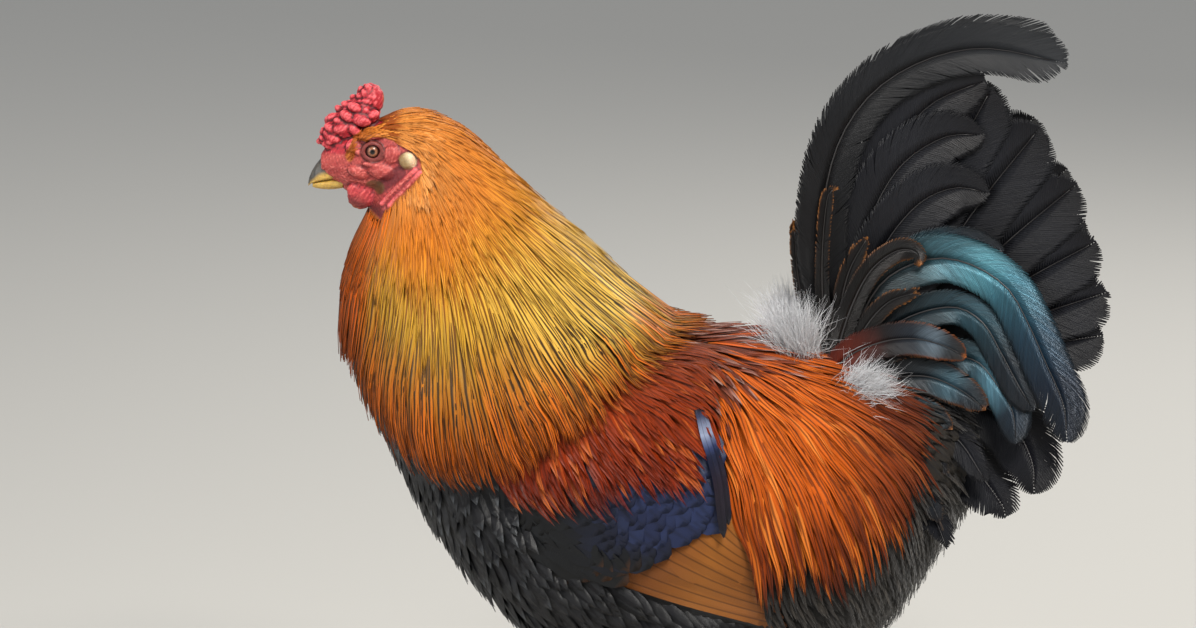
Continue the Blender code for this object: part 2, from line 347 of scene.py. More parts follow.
# %% [markdown]
# ## The skin
# A live bird has one skin from comb to toes. The solids part it, so copies of them are fused again. A
# voxel remesh wraps one surface around all that overlaps: fine voxels on the head, where the skin shows,
# and coarse ones below, where it only carries feathers.

# %% Tools that fuse solids into one surface
def copies_of(*names):
    """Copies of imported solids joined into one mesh, doubled points merged."""
    made = [linked("part_of_skin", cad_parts[name].data.copy()) for name in names]
    return edited(joined(made), (bpy.ops.mesh.remove_doubles, {"threshold": 1e-5}))


def ball(centre, radii, turn=0, lean=0):
    """An ellipsoid of flesh. turn tips it up at the front, lean swings its front outward, in degrees."""
    obj = primitive("uv_sphere", segments=20, ring_count=14, radius=1, location=place(centre),
                    rotation=(0, math.radians(turn), math.radians(lean)))
    obj.scale = Vector(radii) * MM
    return obj


def fused(obj, voxel, rounds):
    """One smoothed closed surface around all of a mesh, from voxels of that many millimetres."""
    only(obj)
    obj.data.remesh_voxel_size = voxel * MM
    bpy.ops.object.voxel_remesh()
    return modified(obj, "SMOOTH", factor=0.5, iterations=rounds)


# %% [markdown]
# The head is built up like clay on the imported solid: brow, lids, cheek, the base of the bill, the wattles
# and two taut folds. The rose comb is a mound of knobs. Those along its outline are listed one by one, and a
# sunflower pattern spreads the rest over its sides.

# %% Lumps of the head
EYE = np.array((-206, 11.6, 461.2))
EYE_RADIUS = 6.3
LID_RING, LID_THICKNESS, LID_OUT = 5.2, 1.1, 16.5
LID_STRETCH, LID_TURN = (1.12, 0.98, 1.1), 5
# Each lump of one side: centre x, y, z, then half lengths along, across and up, then turn and lean
FACE_LUMPS = [
    ((-206, 14.2, 470.6), (9.5, 3.4, 2.3), -6, -6),
    ((-216.5, 11.6, 463.5), (6.5, 3.2, 5.5), 0, -14),
    ((-213.9, 14.6, 460.4), (3.4, 1.7, 2), 12, -16),
    ((-204.5, 16.4, 452.6), (8, 2.4, 1.8), 8, 0),
    ((-199.5, 15.6, 449), (10.5, 4.2, 5.6), 14, 4),
    ((-213.5, 12.4, 448), (8.5, 4, 4.2), 16, -14),
    ((-225, 6.8, 446.6), (4.6, 2.8, 4.2), 0, -20),
    ((-227.6, 4.6, 456.2), (4.8, 2.8, 4), 20, -18),
    ((-194, 17.6, 459.5), (5.5, 2.6, 5.5), 0, 6),
]
LOBE_LUMPS = [((-184.6, 21, 456.4), (5.4, 2.6, 4.9), -20, 8)]
WATTLE_LUMPS = [
    ((-212.6, 8.4, 433.6), (9.2, 2.9, 8.2), 8, 0),
    ((-218, 9, 435.6), (4.6, 2.6, 4.8), 0, -12),
    ((-206.6, 8.4, 430.8), (5, 2.6, 4.8), 0, 6),
]
CHIN = ((-216, 0, 439), (11, 8, 6.5))
# The two folds behind the face: start, end, thickness. They bow outward a little at their middle
FOLDS = [((-179.9, 22.3, 450.7), (-200.6, 19.4, 429.5), 1.5),
         ((-176.6, 23, 449.3), (-196, 22.6, 428.6), 1.4)]
FOLD_STEPS, FOLD_BOW = 13, 1.2
# The hollow in front of them, and the dull patch of its bristles
HOLLOW = ((-189.5, 20, 448.5), (-206, 16, 436))
BRISTLES = [((-205.8, 16, 438.4), (6.6, 6, 4.4))]
# Comb: mounds that carry the knobs, then knobs along the outline (x, y, z, radius)
COMB_MOUNDS = [
    ((-231, 0, 466.5), (7.9, 8.2, 7.2)), ((-223.5, 0, 474.5), (10.4, 11.8, 9.2)),
    ((-213.5, 0, 482.5), (10.2, 11.8, 10.2)), ((-208.8, 0, 491), (6, 6.8, 8.6)),
]
COMB_KNOBS = [
    (-234.8, 3, 465.5, 2.9), (-235.4, -2.5, 470.6, 2.9), (-233.6, 3.4, 476, 3),
    (-230.6, -2.8, 480.4, 3), (-226.6, 3, 484, 2.8), (-222.2, -2.4, 487.6, 2.8),
    (-217, 3.2, 489.8, 3.2), (-212.6, -3, 493.4, 2.9), (-207.6, 1.6, 496.8, 2.8),
    (-204.8, -1.2, 494.6, 2.5), (-205.2, -5.2, 490.4, 2.7), (-205.6, 4.8, 485.8, 2.8),
    (-206.8, -8.2, 482.6, 3.4), (-213, -9.8, 479.6, 4.4), (-221.6, -9.6, 482, 3.6),
    (-217.2, -9.8, 487.6, 3.3), (-225, -9.2, 474.2, 3.8), (-217.6, -9.6, 473.6, 3.4),
    (-230.2, -7, 467.8, 3.4), (-226.4, -6.6, 463.4, 2.8), (-233.6, -5, 463.2, 2.8),
    (-232, -6.4, 474, 3.2),
]
# A knob this far from the middle plane has a twin on the other side
TWIN_FROM = 6
KNOBS_PER_MOUND, KNOB_SUNK = 22, 0.88
SMALLEST_KNOB, KNOB_SPREAD = 1.8, 1.2
KNOB_SHAPE = np.array((1.45, 1, 0.9))
GOLDEN_ANGLE = math.pi * (3 - math.sqrt(5))


def knobs():
    """Centres and radii of all knobs: listed, mirrored, and of the sunflower pattern."""
    found = [((x, y, z), r) for x, y, z, r in COMB_KNOBS]
    found += [((x, -y, z), r) for x, y, z, r in COMB_KNOBS if abs(y) > TWIN_FROM]
    for centre, radii in COMB_MOUNDS:
        for i in range(KNOBS_PER_MOUND):
            up = 1 - 1.5 * (i + 0.5) / KNOBS_PER_MOUND
            out, angle = math.sqrt(1 - up * up), i * GOLDEN_ANGLE
            way = np.array((out * math.cos(angle), out * math.sin(angle), up))
            radius = SMALLEST_KNOB + KNOB_SPREAD * chance.random()
            found.append((np.array(centre) + KNOB_SUNK * way * radii, radius))
    return found


def eyelid(side):
    """A soft ring of skin that lies on the eyeball around its opening."""
    ring = primitive("torus", major_segments=40, minor_segments=12, major_radius=LID_RING * MM,
                     minor_radius=LID_THICKNESS * MM, location=place((EYE[0], side * LID_OUT, EYE[2])),
                     rotation=(math.radians(90), 0, 0))
    ring.scale = LID_STRETCH
    ring.rotation_euler.z = math.radians(side * LID_TURN)
    return ring


head_parts = [copies_of("head", "neck", "comb", "wattle_left", "wattle_right")]
for side in SIDES.values():
    for (x, y, z), radii, turn, lean in FACE_LUMPS + LOBE_LUMPS + WATTLE_LUMPS:
        head_parts.append(ball((x, side * y, z), radii, turn, side * lean))
    for start, end, thickness in FOLDS:
        for share in np.linspace(0, 1, FOLD_STEPS):
            x, y, z = mix(start, end, share)
            outward = y + FOLD_BOW * math.sin(math.pi * share)
            head_parts.append(ball((x, side * outward, z), (thickness,) * 3))
    head_parts.append(eyelid(side))
for centre, radii in [CHIN, *COMB_MOUNDS]:
    head_parts.append(ball(centre, radii))
for centre, radius in knobs():
    head_parts.append(ball(centre, radius * KNOB_SHAPE, 75 - 95 * chance.random()))
print("lumps on the head", len(head_parts))

# %% [markdown]
# Below this height feathers cover the neck, so the fine surface ends there, under the coat, and the
# coarse one takes over.

# %% Fuse the head
HEAD_VOXEL = 0.75
HEAD_CUTS = (((-190, 0, 421), (0.15, 0, -1)), ((-163, 0, 450), (1, 0, -0.3)))

head_skin = fused(cut_off(joined(head_parts), *HEAD_CUTS), HEAD_VOXEL, 7)
print("head points", len(head_skin.data.vertices))

# %% [markdown]
# Bare fowl skin is never smooth. The comb and wattles are beaded, and fine folds cross the cheek from the
# gape. The relief is pushed along the surface's own direction, with noise in real millimetres.

# %% Where each kind of bare skin lies
WAVES = 5


def one_side(points):
    """Points of both sides brought to the side where y is positive."""
    return points * (1, 0, 1) + np.abs(points) * (0, 1, 0)


def inside_lumps(points, lumps, grow):
    """1 inside any of these ellipsoids, grown by some millimetres, on both sides."""
    found = np.zeros(len(points))
    for centre, radii, *_ in lumps:
        away = (one_side(points) - centre) / (np.array(radii) + grow)
        found = np.maximum(found, 1 - ramp(np.linalg.norm(away, axis=1), 0.85, 1.1))
    return found


def along_fold(points, fold, reach):
    """1 on the line of a fold and 0 beyond its reach."""
    start, end = np.array(fold[0]), np.array(fold[1])
    share = np.clip((one_side(points) - start) @ (end - start) / ((end - start) @ (end - start)), 0, 1)
    away = np.linalg.norm(one_side(points) - (start + share[:, None] * (end - start)), axis=1)
    return 1 - ramp(away, 0.6 * reach, reach)


def noise_field(points, scale, seed):
    """Smooth noise from -1 to 1, with lumps of about that many millimetres."""
    source = np.random.default_rng(10 * seed + 11)
    total = np.zeros(len(points))
    for octave, weight in ((1, 0.5), (1.9, 0.3), (3.3, 0.2)):
        for _ in range(WAVES):
            way = unit(source.normal(size=3))
            bend = 1.3 * np.sin(points @ way[::-1] * octave * 2.3 / scale)
            phase = points @ way * octave * math.tau / scale + source.random() * 6.3 + bend
            total += weight / WAVES * 2.2 * np.sin(phase)
    return np.clip(total, -1, 1)


def cavity(obj):
    """Millimetres that each point stands out from its neighbours: negative in a crease."""
    points = plan_points(obj)
    ends = read(obj.data.edges, "vertices", 2, np.int64)
    count = np.maximum(np.bincount(ends.ravel(), minlength=len(points)), 1)

    def neighbours_mean(values):
        total = np.zeros(len(points))
        for own, other in ((0, 1), (1, 0)):
            total += np.bincount(ends[:, own], values[ends[:, other]], len(points))
        return total / count

    mean = np.stack([neighbours_mean(axis) for axis in points.T], axis=1)
    raw = ((points - mean) * point_normals(obj)).sum(1)
    return 0.5 * raw + 0.5 * neighbours_mean(raw)


# %% Push the relief into the head
# The comb's lower edge, x and z
COMB_BASE = ((-238, 459), (-223, 460), (-217, 472.5), (-202, 477), (-190, 479))
# Heights of each kind of relief, in millimetres
COMB_BEADS, WATTLE_BEADS, CHEEK_BEADS, LOBE_BEADS = 0.12, 0.22, 0.12, 0.04
CHEEK_FOLDS, CHEEK_RINGS, LID_RINGS, HOLLOW_SINK = 0.1, 0.06, 0.13, 0.15
# The lids lie further from the middle plane than this
LIDS_BEYOND = 9


def comb_mask(points):
    """1 on the comb, above a line that climbs from the bill to the crown."""
    x, y, z = points.T
    above = ramp(z + 0.12 * np.abs(y) - np.interp(x, *np.transpose(COMB_BASE)), -0.6, 1.2)
    return above * (1 - ramp(x, -201, -199))


points = plan_points(head_skin)
x, y, z = points.T
on_comb = comb_mask(points)
on_wattle = inside_lumps(points, WATTLE_LUMPS, 0.6)
on_lobe = inside_lumps(points, LOBE_LUMPS, 0.5)
to_eye = np.hypot((x - EYE[0]) / 1.08, z - EYE[2])
on_lid = (1 - ramp(to_eye, 6.4, 7.6)) * (np.abs(y) > LIDS_BEYOND)
on_cheek = np.clip(1 - on_comb - on_wattle - on_lobe - on_lid, 0, 1)
beads = noise_field(points, 2.9, 1)
folds = np.sin(math.tau * (z + 0.35 * x + 2.8 * noise_field(points, 9, 2)) / 3.1)
rings = np.sin(math.tau * (to_eye + 0.5 * noise_field(points, 5, 3)) / 1.9)
low_cheek = 1 - ramp(z, 449, 456)
cheek_relief = (CHEEK_BEADS * beads + CHEEK_FOLDS * low_cheek * folds
                + CHEEK_RINGS * (1 - low_cheek) * rings - HOLLOW_SINK * along_fold(points, HOLLOW, 5))
relief = (COMB_BEADS * on_comb * beads + WATTLE_BEADS * on_wattle * beads + on_cheek * cheek_relief
          + LID_RINGS * on_lid * rings + LOBE_BEADS * on_lobe * beads)
set_plan_points(head_skin, points + relief[:, None] * point_normals(head_skin))
print("relief from", round(relief.min(), 2), "to", round(relief.max(), 2), "mm")

# %% [markdown]
# Skin colour is a tint held by each point: flesh red on the face, with a painted highlight where the skin of
# face, comb and wattles stands out and painted shade in its creases and round the eye, painted shadow in the
# hollow before the folds and low under the jaw, cream on the lobe with painted shade over its lower front,
# and dull where feathers will cover it. The finish adds fine mottling.

# %% Tints of the head
# Edges of the bare face: the brow as x and z, and the edge behind the lobe as z and x
BROW = (-226, -219, -214, -205, -196, -190, -184), (470, 466, 467.5, 470.5, 469, 466.5, 464)
BEHIND_LOBE = (420, 430, 440, 447, 452, 462, 470), (-201, -194.5, -183.5, -177, -175.5, -178.5, -190)
# Cavity, in millimetres, that scales the painted shade in creases and the painted highlight on knobs
DEEPEST_CREASE = 0.075


def tinted(obj, colours):
    """Stores one linear colour, its tint, for each point of the mesh."""
    layer = obj.data.attributes.new("tint", "FLOAT_COLOR", "POINT")
    full = np.ones((len(colours), 4))
    full[:, :3] = colours
    layer.data.foreach_set("color", full.ravel())


def face_mask(points):
    """1 on the bare red face, which ends at brow, lobe and throat."""
    x, y, z = points.T
    z = z - 0.06 * (17 - np.abs(y))
    below_brow = 1 - ramp(z - np.interp(x, *BROW), -1.2, 1)
    before_rear = 1 - ramp(x - np.interp(z, *BEHIND_LOBE), -1.5, 0.8)
    throat = ramp(z + 0.5 * (x + 212) - 3 * ramp(x, -212, -207), 421, 424)
    before_eye = ramp(np.hypot((x + 220.3) / 3.4, (z - 461.5) / 7.5), 0.85, 1.1)
    return below_brow * before_rear * throat * before_eye


points = plan_points(head_skin)
x, y, z = points.T
face = face_mask(points)
crease = np.clip(cavity(head_skin) / DEEPEST_CREASE, -1, 1)
blotches = noise_field(points, 9, 4) + 0.4 * noise_field(points, 4, 6)
# Face flesh: painted shade in creases, a painted highlight where the skin stands out, and random darker
# blotches
flesh = painted("#ab4540", ("#6e2324", ramp(-crease, 0.1, 0.9)), ("#d9756c", 0.85 * ramp(crease, 0.2, 1)),
                ("#8e2c2e", 0.55 * ramp(blotches, -0.1, 0.7)))
# Comb and wattles: painted shade in creases and a painted highlight where they stand out; the lids get
# painted shade in their creases
comb_tint = painted("#a6232d", ("#4a0a12", ramp(-crease, 0, 0.65)),
                    ("#e8686c", 0.8 * ramp(crease, 0.15, 0.9)))
wattle_tint = painted("#a63338", ("#6a161d", ramp(-crease, 0.1, 0.9)), ("#cc5654", ramp(crease, 0.2, 1)))
lid_tint = mix("#783530", "#3c1714", 0.8 * ramp(-crease, 0, 0.8))
# The lobe is cream; the olive-brown over its lower front is painted shade
lobe_tint = mix("#e6d0a8", "#84683e", 0.9 * ramp(-(x + 185.5) + 0.5 * (456 - z), -5.5, 1))
plucked = mix("#b0621f", "#8f4c18", 0.5 + 0.5 * noise_field(points, 6, 5))
under_jaw_shadow = 1 - ramp(z + 0.3 * (x + 205), 425, 432)
on_folds = np.maximum(along_fold(points, FOLDS[0], 1.9), along_fold(points, FOLDS[1], 1.8))
# Painted shadow: dark red in the hollow before the folds, and near black low on the face under the jaw
tinted(head_skin, painted(
    plucked, (flesh, np.maximum(face, on_comb)), ("#5a1018", 0.85 * (along_fold(points, HOLLOW, 5.5) * face)),
    ("#3c1014", 0.7 * under_jaw_shadow * face), ("#5b4322", 0.75 * inside_lumps(points, BRISTLES, 0.6)),
    ("#e8686a", 0.9 * on_folds), (comb_tint, on_comb), (wattle_tint, on_wattle), (lid_tint, on_lid),
    (lobe_tint, on_lobe)))
print("bare points", int((face > 0.5).sum()))

# %% [markdown]
# The body's skin is fused from the trunk, wings, back, neck and thighs, then sunk by the depth of the
# coat, which is shallow on the neck and deeper on the body.

# %% Body skin
BODY_VOXEL = 3.6
NECK_DEPTH, BODY_DEPTH = 4, 7.5
HIDDEN_FACE = ((-212, 0, 422), (-0.75, 0, 0.66))
BODY_SOLIDS = ("head", "neck", "trunk", "saddle", "wing_left", "wing_right", "thigh_left", "thigh_right")

body_skin = fused(copies_of(*BODY_SOLIDS), BODY_VOXEL, 6)
points = plan_points(body_skin)
x, _, z = points.T
depth = NECK_DEPTH + (BODY_DEPTH - NECK_DEPTH) * (1 - ramp(z, 330, 430))
near_head = ramp(0.6 * z - 0.8 * x, 372, 412)
depth = depth * (1 - 0.75 * near_head) * (0.35 + 0.65 * ramp(z, 95, 150))
set_plan_points(body_skin, points - depth[:, None] * point_normals(body_skin))
edited(body_skin, (bpy.ops.mesh.vertices_smooth, {"factor": 0.5, "repeat": 4}))
print("body points", len(body_skin.data.vertices))

# %% [markdown]
# ## Legs and feet
# A curve with a thickness at each of its points gives a bare limb its taper and swollen joints. The
# pieces are fused as the head was, then ringed with the broad plates, or scutes, of a fowl's leg.

# %% Legs from curves
# The middle of a foot as x and y, then each limb as points x, y, z and radius
FOOT = (-42, 50)
SHANK = [(-19, 48, 106, 9.5), (-20, 48, 95, 10.2), (-23, 48, 84, 8), (-28, 48.6, 66, 7),
         (-32, 49, 50, 7), (-39, 50, 24, 7.8), (-41, 50, 13, 8.4)]
SPUR = [(-33, 49, 45, 4.9), (-23, 42, 44, 4.3), (-15, 36, 45, 2.9), (-9, 31, 48, 0.7)]
FOOT_PAD = ((*FOOT, 8.6), (13, 11.5, 8.4))
# Toes: heading outward from straight ahead in degrees, length, thickness at the root, number of joints
TOES = [(0, 68, 6.8, 3), (-40, 48, 6, 2), (31, 53, 6, 3), (165, 28, 5, 1)]
# Claws: how far the root reaches back into the toe and its share of the toe's thickness, then points
# with the share of the claw's length, the rise above the toe's middle and the share of the thickness
CLAW_LENGTH, HIND_CLAW = 15, 0.8
CLAW_ROOT = (4, 0.7)
CLAW = [(0.15, 1, 0.6), (0.55, 0.8, 0.42), (0.85, -1.2, 0.22)]
CLAW_POINT_HEIGHT, CLAW_POINT = 0.7, 0.05
LEG_VOXEL = 1


def bar(path):
    """A round bar through points x, y, z and radius: a bevelled curve turned into a mesh."""
    curve = bpy.data.curves.new("bar", "CURVE")
    curve.dimensions, curve.bevel_depth, curve.bevel_resolution = "3D", MM, 4
    curve.use_fill_caps = True
    line = curve.splines.new("NURBS")
    line.points.add(len(path) - 1)
    for point, (x, y, z, radius) in zip(line.points, path):
        point.co = (*place((x, y, z)), 1)
        point.radius = radius
    line.order_u, line.use_endpoint_u, line.resolution_u = 3, True, 6
    only(linked("bar", curve))
    bpy.ops.object.convert(target="MESH")
    return edited(bpy.context.object, (bpy.ops.mesh.remove_doubles, {"threshold": 1e-6}),
                  (bpy.ops.mesh.normals_make_consistent, {"inside": False}))


def toe_line(side, turn, length, thick, joints):
    """Points and radii of a toe, swollen at each pad, and its claw's place and heading."""
    angle = math.radians(turn)
    ahead = np.array((-math.cos(angle), side * math.sin(angle), 0))
    line = []
    for share in np.linspace(0, 1, 4 * joints + 3):
        radius = thick * (1.06 - 0.32 * share) * (1 + 0.1 * math.cos(math.tau * joints * share))
        spot = np.array((FOOT[0], side * FOOT[1], radius * 0.97)) + ahead * length * share
        line.append((*spot, radius))
    return line, np.array(line[-1][:3]), ahead


def claw(tip, ahead, length, thick):
    """A claw that leaves the toe level and hooks down."""
    back, root = CLAW_ROOT
    path = [(*(tip - back * ahead), root * thick)]
    for share, rise, radius in (*CLAW, (1, CLAW_POINT_HEIGHT - tip[2], CLAW_POINT)):
        path.append((*(tip + share * length * ahead + rise * UP), radius * thick))
    return bar(path)


legs, claws, spurs = [], [], []
for side in SIDES.values():
    legs.append(bar([(x, side * y, z, r) for x, y, z, r in SHANK]))
    (x, y, z), radii = FOOT_PAD
    legs.append(ball((x, side * y, z), radii))
    for turn, length, thick, joints in TOES:
        line, tip, ahead = toe_line(side, turn, length, thick, joints)
        legs.append(bar(line))
        claws.append(claw(tip, ahead, CLAW_LENGTH * (HIND_CLAW if turn > 90 else 1), thick))
    spurs.append(bar([(x, side * y, z, r) for x, y, z, r in SPUR]))
leg_skin = fused(joined(legs), LEG_VOXEL, 2)
print("leg points", len(leg_skin.data.vertices))

# %% Scutes and the flat underside
SCUTE = 3.6
SCUTE_RELIEF, GRAIN_RELIEF = 0.5, 0.16


def along_toe(points):
    """Distance of each point from the foot's middle, and 1 where it is on a toe."""
    x, y, z = points.T
    reach = np.hypot(x - FOOT[0], np.abs(y) - FOOT[1])
    return reach, ramp(reach, 11, 15) * (1 - ramp(z, 13, 16))


points, normals = plan_points(leg_skin), point_normals(leg_skin)
reach, on_toe = along_toe(points)
band = np.where(on_toe > 0.5, reach, points[:, 2] + 0.25 * points[:, 0]) / SCUTE
plate = np.abs(np.sin(math.pi * band)) ** 0.35
face_on = np.where(on_toe > 0.5, ramp(normals[:, 2], -0.1, 0.5), ramp(-normals[:, 0], -0.3, 0.3))
grains = noise_field(points, 3, 8)
relief = face_on * SCUTE_RELIEF * (plate - 0.75) + (1 - face_on) * GRAIN_RELIEF * grains
points = points + relief[:, None] * normals
points[:, 2] = np.maximum(points[:, 2], 0)
set_plan_points(leg_skin, points)
seam = (1 - plate) * face_on
tinted(leg_skin, painted(
    "#c79a3f", ("#a77a34", 0.5 + 0.5 * noise_field(points, 14, 9)), ("#6d5230", np.clip(1.3 * seam, 0, 1)),
    ("#8f7a55", 0.45 * ramp(grains, 0.1, 0.9) * (1 - face_on)),
    ("#7b6748", 0.5 * (1 - ramp(points[:, 2], 0, 6)))))

points = plan_points(body_skin)
neck_tone = mix("#9a5220", "#6d3416", ramp(430 - points[:, 2], 0, 120))
dark_down = mix("#2a2426", "#1c191b", 0.5 + 0.5 * noise_field(points, 30, 10))
tinted(body_skin, mix(dark_down, neck_tone, ramp(points[:, 2] + 0.25 * points[:, 0], 245, 275)))
print("scute relief from", round(relief.min(), 2), "to", round(relief.max(), 2), "mm")

# %% [markdown]
# Living skin lets a little light through, which softens its shadows, and it is greasy rather than shiny.
# The shader breaks up the tints with vein-fine mottling and adds pores as a bump.

# %% Skin finish and one piece
# Solids that come in pairs and that the skin stands in for
PAIRS = ("wing", "thigh", "shank", "foot", "wattle", "earlobe")


def mottled(tree, shader, tint, grain, low, high):
    """Gives the shader a tint that a grain makes darker or lighter, from low to high times."""
    spread = add(tree, "MapRange", Value=grain, From_Min=0.3, From_Max=0.7, To_Min=low, To_Max=high)
    scaled_colour(tree, shader, tint, spread)


def skin_finish():
    """Bare fowl skin: soft red light below a slightly greasy, finely pored surface."""
    material, tree, shader = new_finish(
        "bare_skin", Roughness=0.48, Subsurface_Weight=0.18, Subsurface_Scale=0.002, IOR=1.4)
    shader.inputs["Subsurface Radius"].default_value = (1, 0.35, 0.2)
    here = add(tree, "TexCoord").outputs["Object"]
    tint = add(tree, "Attribute", {"attribute_name": "tint"})
    veins = add(tree, "TexNoise", Vector=here, Scale=700, Detail=4, Roughness=0.6)
    mottled(tree, shader, tint, veins, 0.8, 1.16)
    pores = add(tree, "TexVoronoi", Vector=here, Scale=1300)
    raised(tree, shader, pores, 0.35, 0.0003)
    return material


HEAD_SURFACE = head_skin.data.copy()
BODY_SURFACE = body_skin.data.copy()
modified(cut_off(body_skin, HIDDEN_FACE), "DECIMATE", ratio=0.45)
skin = shaded_smooth(joined([head_skin, body_skin, leg_skin]))
finished(skin, "skin", "head_skin", skin_finish(), "head", "neck", "trunk", "saddle", "comb",
         *(f"{part}_{side}" for part in PAIRS for side in SIDES))
print("skin faces", len(skin.data.polygons))

# %% [markdown]
# ## Horn: claws, spurs and bill
# Claws and spurs are sheaths of horn with streaks along them. Each half of the bill is lofted through
# rings, then fused finely so its edges soften, and a ball bores each nostril.

# %% Horn finish
def grown_grain(tree, here, streaks, scale):
    """Noise that is drawn out along the growth of a horn."""
    stretch = add(tree, "Mapping", {"vector_type": "TEXTURE"}, Vector=here, Scale=streaks)
    return add(tree, "TexNoise", Vector=stretch, Scale=scale, Detail=3)


def horn_finish(name, pale, dark, streaks):
    """Keratin horn: a little translucent, streaked along its growth, dully polished."""
    material, tree, shader = new_finish(name, Roughness=0.34, Subsurface_Weight=0.1, Subsurface_Scale=0.002)
    here = add(tree, "TexCoord").outputs["Object"]
    grain = grown_grain(tree, here, streaks, 900)
    share = add(tree, "MapRange", Value=grain, From_Min=0.35, From_Max=0.65)
    tree.links.new(blend(tree, share, rgba(dark), rgba(pale)), shader.inputs["Base Color"])
    raised(tree, shader, grain, 0.25, 0.0002)
    return material


claw_horn = horn_finish("claw_horn", "#8b7448", "#4a3b27", (6, 1, 1))
spur_horn = horn_finish("spur_horn", "#b99a62", "#6e5532", (5, 3, 1))
for name, bars, horn in (("claws", claws, claw_horn), ("spurs", spurs, spur_horn)):
    piece = finished(shaded_smooth(joined(bars)), name, "leg_scales", horn)
    print(name, len(piece.data.polygons), "faces")

# %% Bill
# Rings of each mandible: x, lowest z, highest z, half width
UPPER_BILL = [
    (-226, 442, 459, 6.4), (-231, 441.4, 459, 6.3), (-235.5, 440.7, 457.2, 5.7),
    (-239, 440.1, 454, 4.9), (-242, 439.4, 450.2, 3.9), (-244.3, 438.6, 446.4, 2.8),
    (-245.9, 437.6, 442.6, 1.7), (-246.6, 436.6, 439.4, 0.8),
]
LOWER_BILL = [
    (-225, 435.6, 442, 5.6), (-230, 434.9, 441.7, 5.3), (-234, 434.7, 441, 4.7),
    (-238, 434.9, 440.3, 3.8), (-241.5, 435.4, 439.6, 2.7), (-244, 436.2, 438.7, 1.4),
]
# The bill's ridge, as x and z
RIDGE_LINE = (-247, -240, -228), (437.5, 444, 448.5)
CUTTING_EDGE = 440.6
RING_POINTS = 28
BILL_VOXEL = 0.32
NOSTRIL, NOSTRIL_HEIGHT, NOSTRIL_LENGTH, NOSTRIL_DEPTH = (-233.4, 5, 452.4), 0.8, 1.9, 1.5
NOSTRIL_TURN, NOSTRIL_LEAN = 25, -14


def mandible(rings, floor_share):
    """A closed loft through round-sided rings, widest at floor_share of their height."""
    bm = bmesh.new()
    loops = []
    for x, low, high, half in rings:
        base = low + floor_share * (high - low)
        loop = []
        for i in range(RING_POINTS):
            across, up = math.cos(math.tau * i / RING_POINTS), math.sin(math.tau * i / RING_POINTS)
            height = base + (high - base) * up if up > 0 else base + (base - low) * up
            wide = half * math.copysign(abs(across) ** 0.8, across)
            loop.append(bm.verts.new(place((x, wide, height))))
        loops.append(loop)
    for near, far in zip(loops, loops[1:]):
        for i in range(RING_POINTS):
            j = (i + 1) % RING_POINTS
            bm.faces.new((near[i], near[j], far[j], far[i]))
    bm.faces.new(loops[0])
    bm.faces.new(loops[-1])
    bmesh.ops.recalc_face_normals(bm, faces=bm.faces)
    mesh = bpy.data.meshes.new("mandible")
    bm.to_mesh(mesh)
    bm.free()
    return linked("mandible", mesh)


def with_nostrils(half):
    """The upper half of the bill, bored by a small ball on each side."""
    x, y, z = NOSTRIL
    radii = (NOSTRIL_HEIGHT * NOSTRIL_LENGTH, NOSTRIL_DEPTH, NOSTRIL_HEIGHT)
    for side in SIDES.values():
        hole = settle(ball((x, side * y, z), radii, NOSTRIL_TURN, side * NOSTRIL_LEAN))
        modified(half, "BOOLEAN", operation="DIFFERENCE", solver="EXACT", object=hole)
        bpy.data.objects.remove(hole)
    return half


def bill_tints(half):
    """Grey on the ridge, yellow along the cutting edge, pinkish where horn leaves flesh."""
    points = plan_points(half)
    x, _, z = points.T
    ridge = ramp(z - np.interp(x, *RIDGE_LINE), -1.5, 2.5)
    ridge = np.maximum(ridge, (1 - ramp(x, -246, -244.4)) * (z > CUTTING_EDGE - 2))
    yellow = mix("#c9a44e", "#a9853f", 0.5 + 0.5 * noise_field(points, 4, 12))
    grey = mix("#5b564e", "#3a3735", 0.5 + 0.5 * noise_field(points, 5, 13))
    root = 0.8 * ramp(x + 0.25 * (z - 450), -235, -229.5) * ramp(z, 443, 448)
    to_nostril = np.linalg.norm((one_side(points) - NOSTRIL) / (2.3, 2, 1.2), axis=1)
    return painted(yellow, (grey, ridge), ("#c79a94", root), ("#3c2320", ramp(-to_nostril, -1.15, -0.8)))


def bill_finish():
    """Bill horn: layered keratin with a worn satin polish and faint growth lines."""
    material, tree, shader = new_finish(
        "bill_horn", Roughness=0.32, Subsurface_Weight=0.08, Subsurface_Scale=0.001)
    here = add(tree, "TexCoord").outputs["Object"]
    tint = add(tree, "Attribute", {"attribute_name": "tint"})
    grain = grown_grain(tree, here, (5, 1, 1), 1100)
    mottled(tree, shader, tint, grain, 0.78, 1.15)
    raised(tree, shader, grain, 0.2, 0.0002)
    return material


bill_horn = bill_finish()
for node, rings, floor_share in (("bill_upper", UPPER_BILL, 0.14), ("bill_lower", LOWER_BILL, 0.7)):
    half = fused(mandible(rings, floor_share), BILL_VOXEL, 3)
    if node == "bill_upper":
        with_nostrils(half)
    tinted(shaded_smooth(half), bill_tints(half))
    finished(half, node + "_horn", "bill", bill_horn, node)
    print(half.name, len(half.data.polygons))

# %% [markdown]
# ## Eyes
# A fowl's eye is a ball set deep in the head, of which only a disc shows: a ring of warm brown round a
# black pupil. Its front is drawn out slightly as the clear cornea, and a clear coat gives its wet gleam.

# %% Eyes
PUPIL, IRIS = 1.6, 3.7
CORNEA_BULGE, CORNEA_EDGE = 0.55, 4.6
DARK_OF_EYE = "#1a0d0c"


def eye_finish():
    """Wet eye: colours under a hard clear coat, which carries the highlight."""
    material, tree, shader = new_finish(
        "wet_eye", Roughness=0.3, Specular_IOR_Level=0.2, Coat_Weight=0.6, Coat_Roughness=0.02)
    tint = add(tree, "Attribute", {"attribute_name": "tint"})
    tree.links.new(tint.outputs["Color"], shader.inputs["Base Color"])
    return material


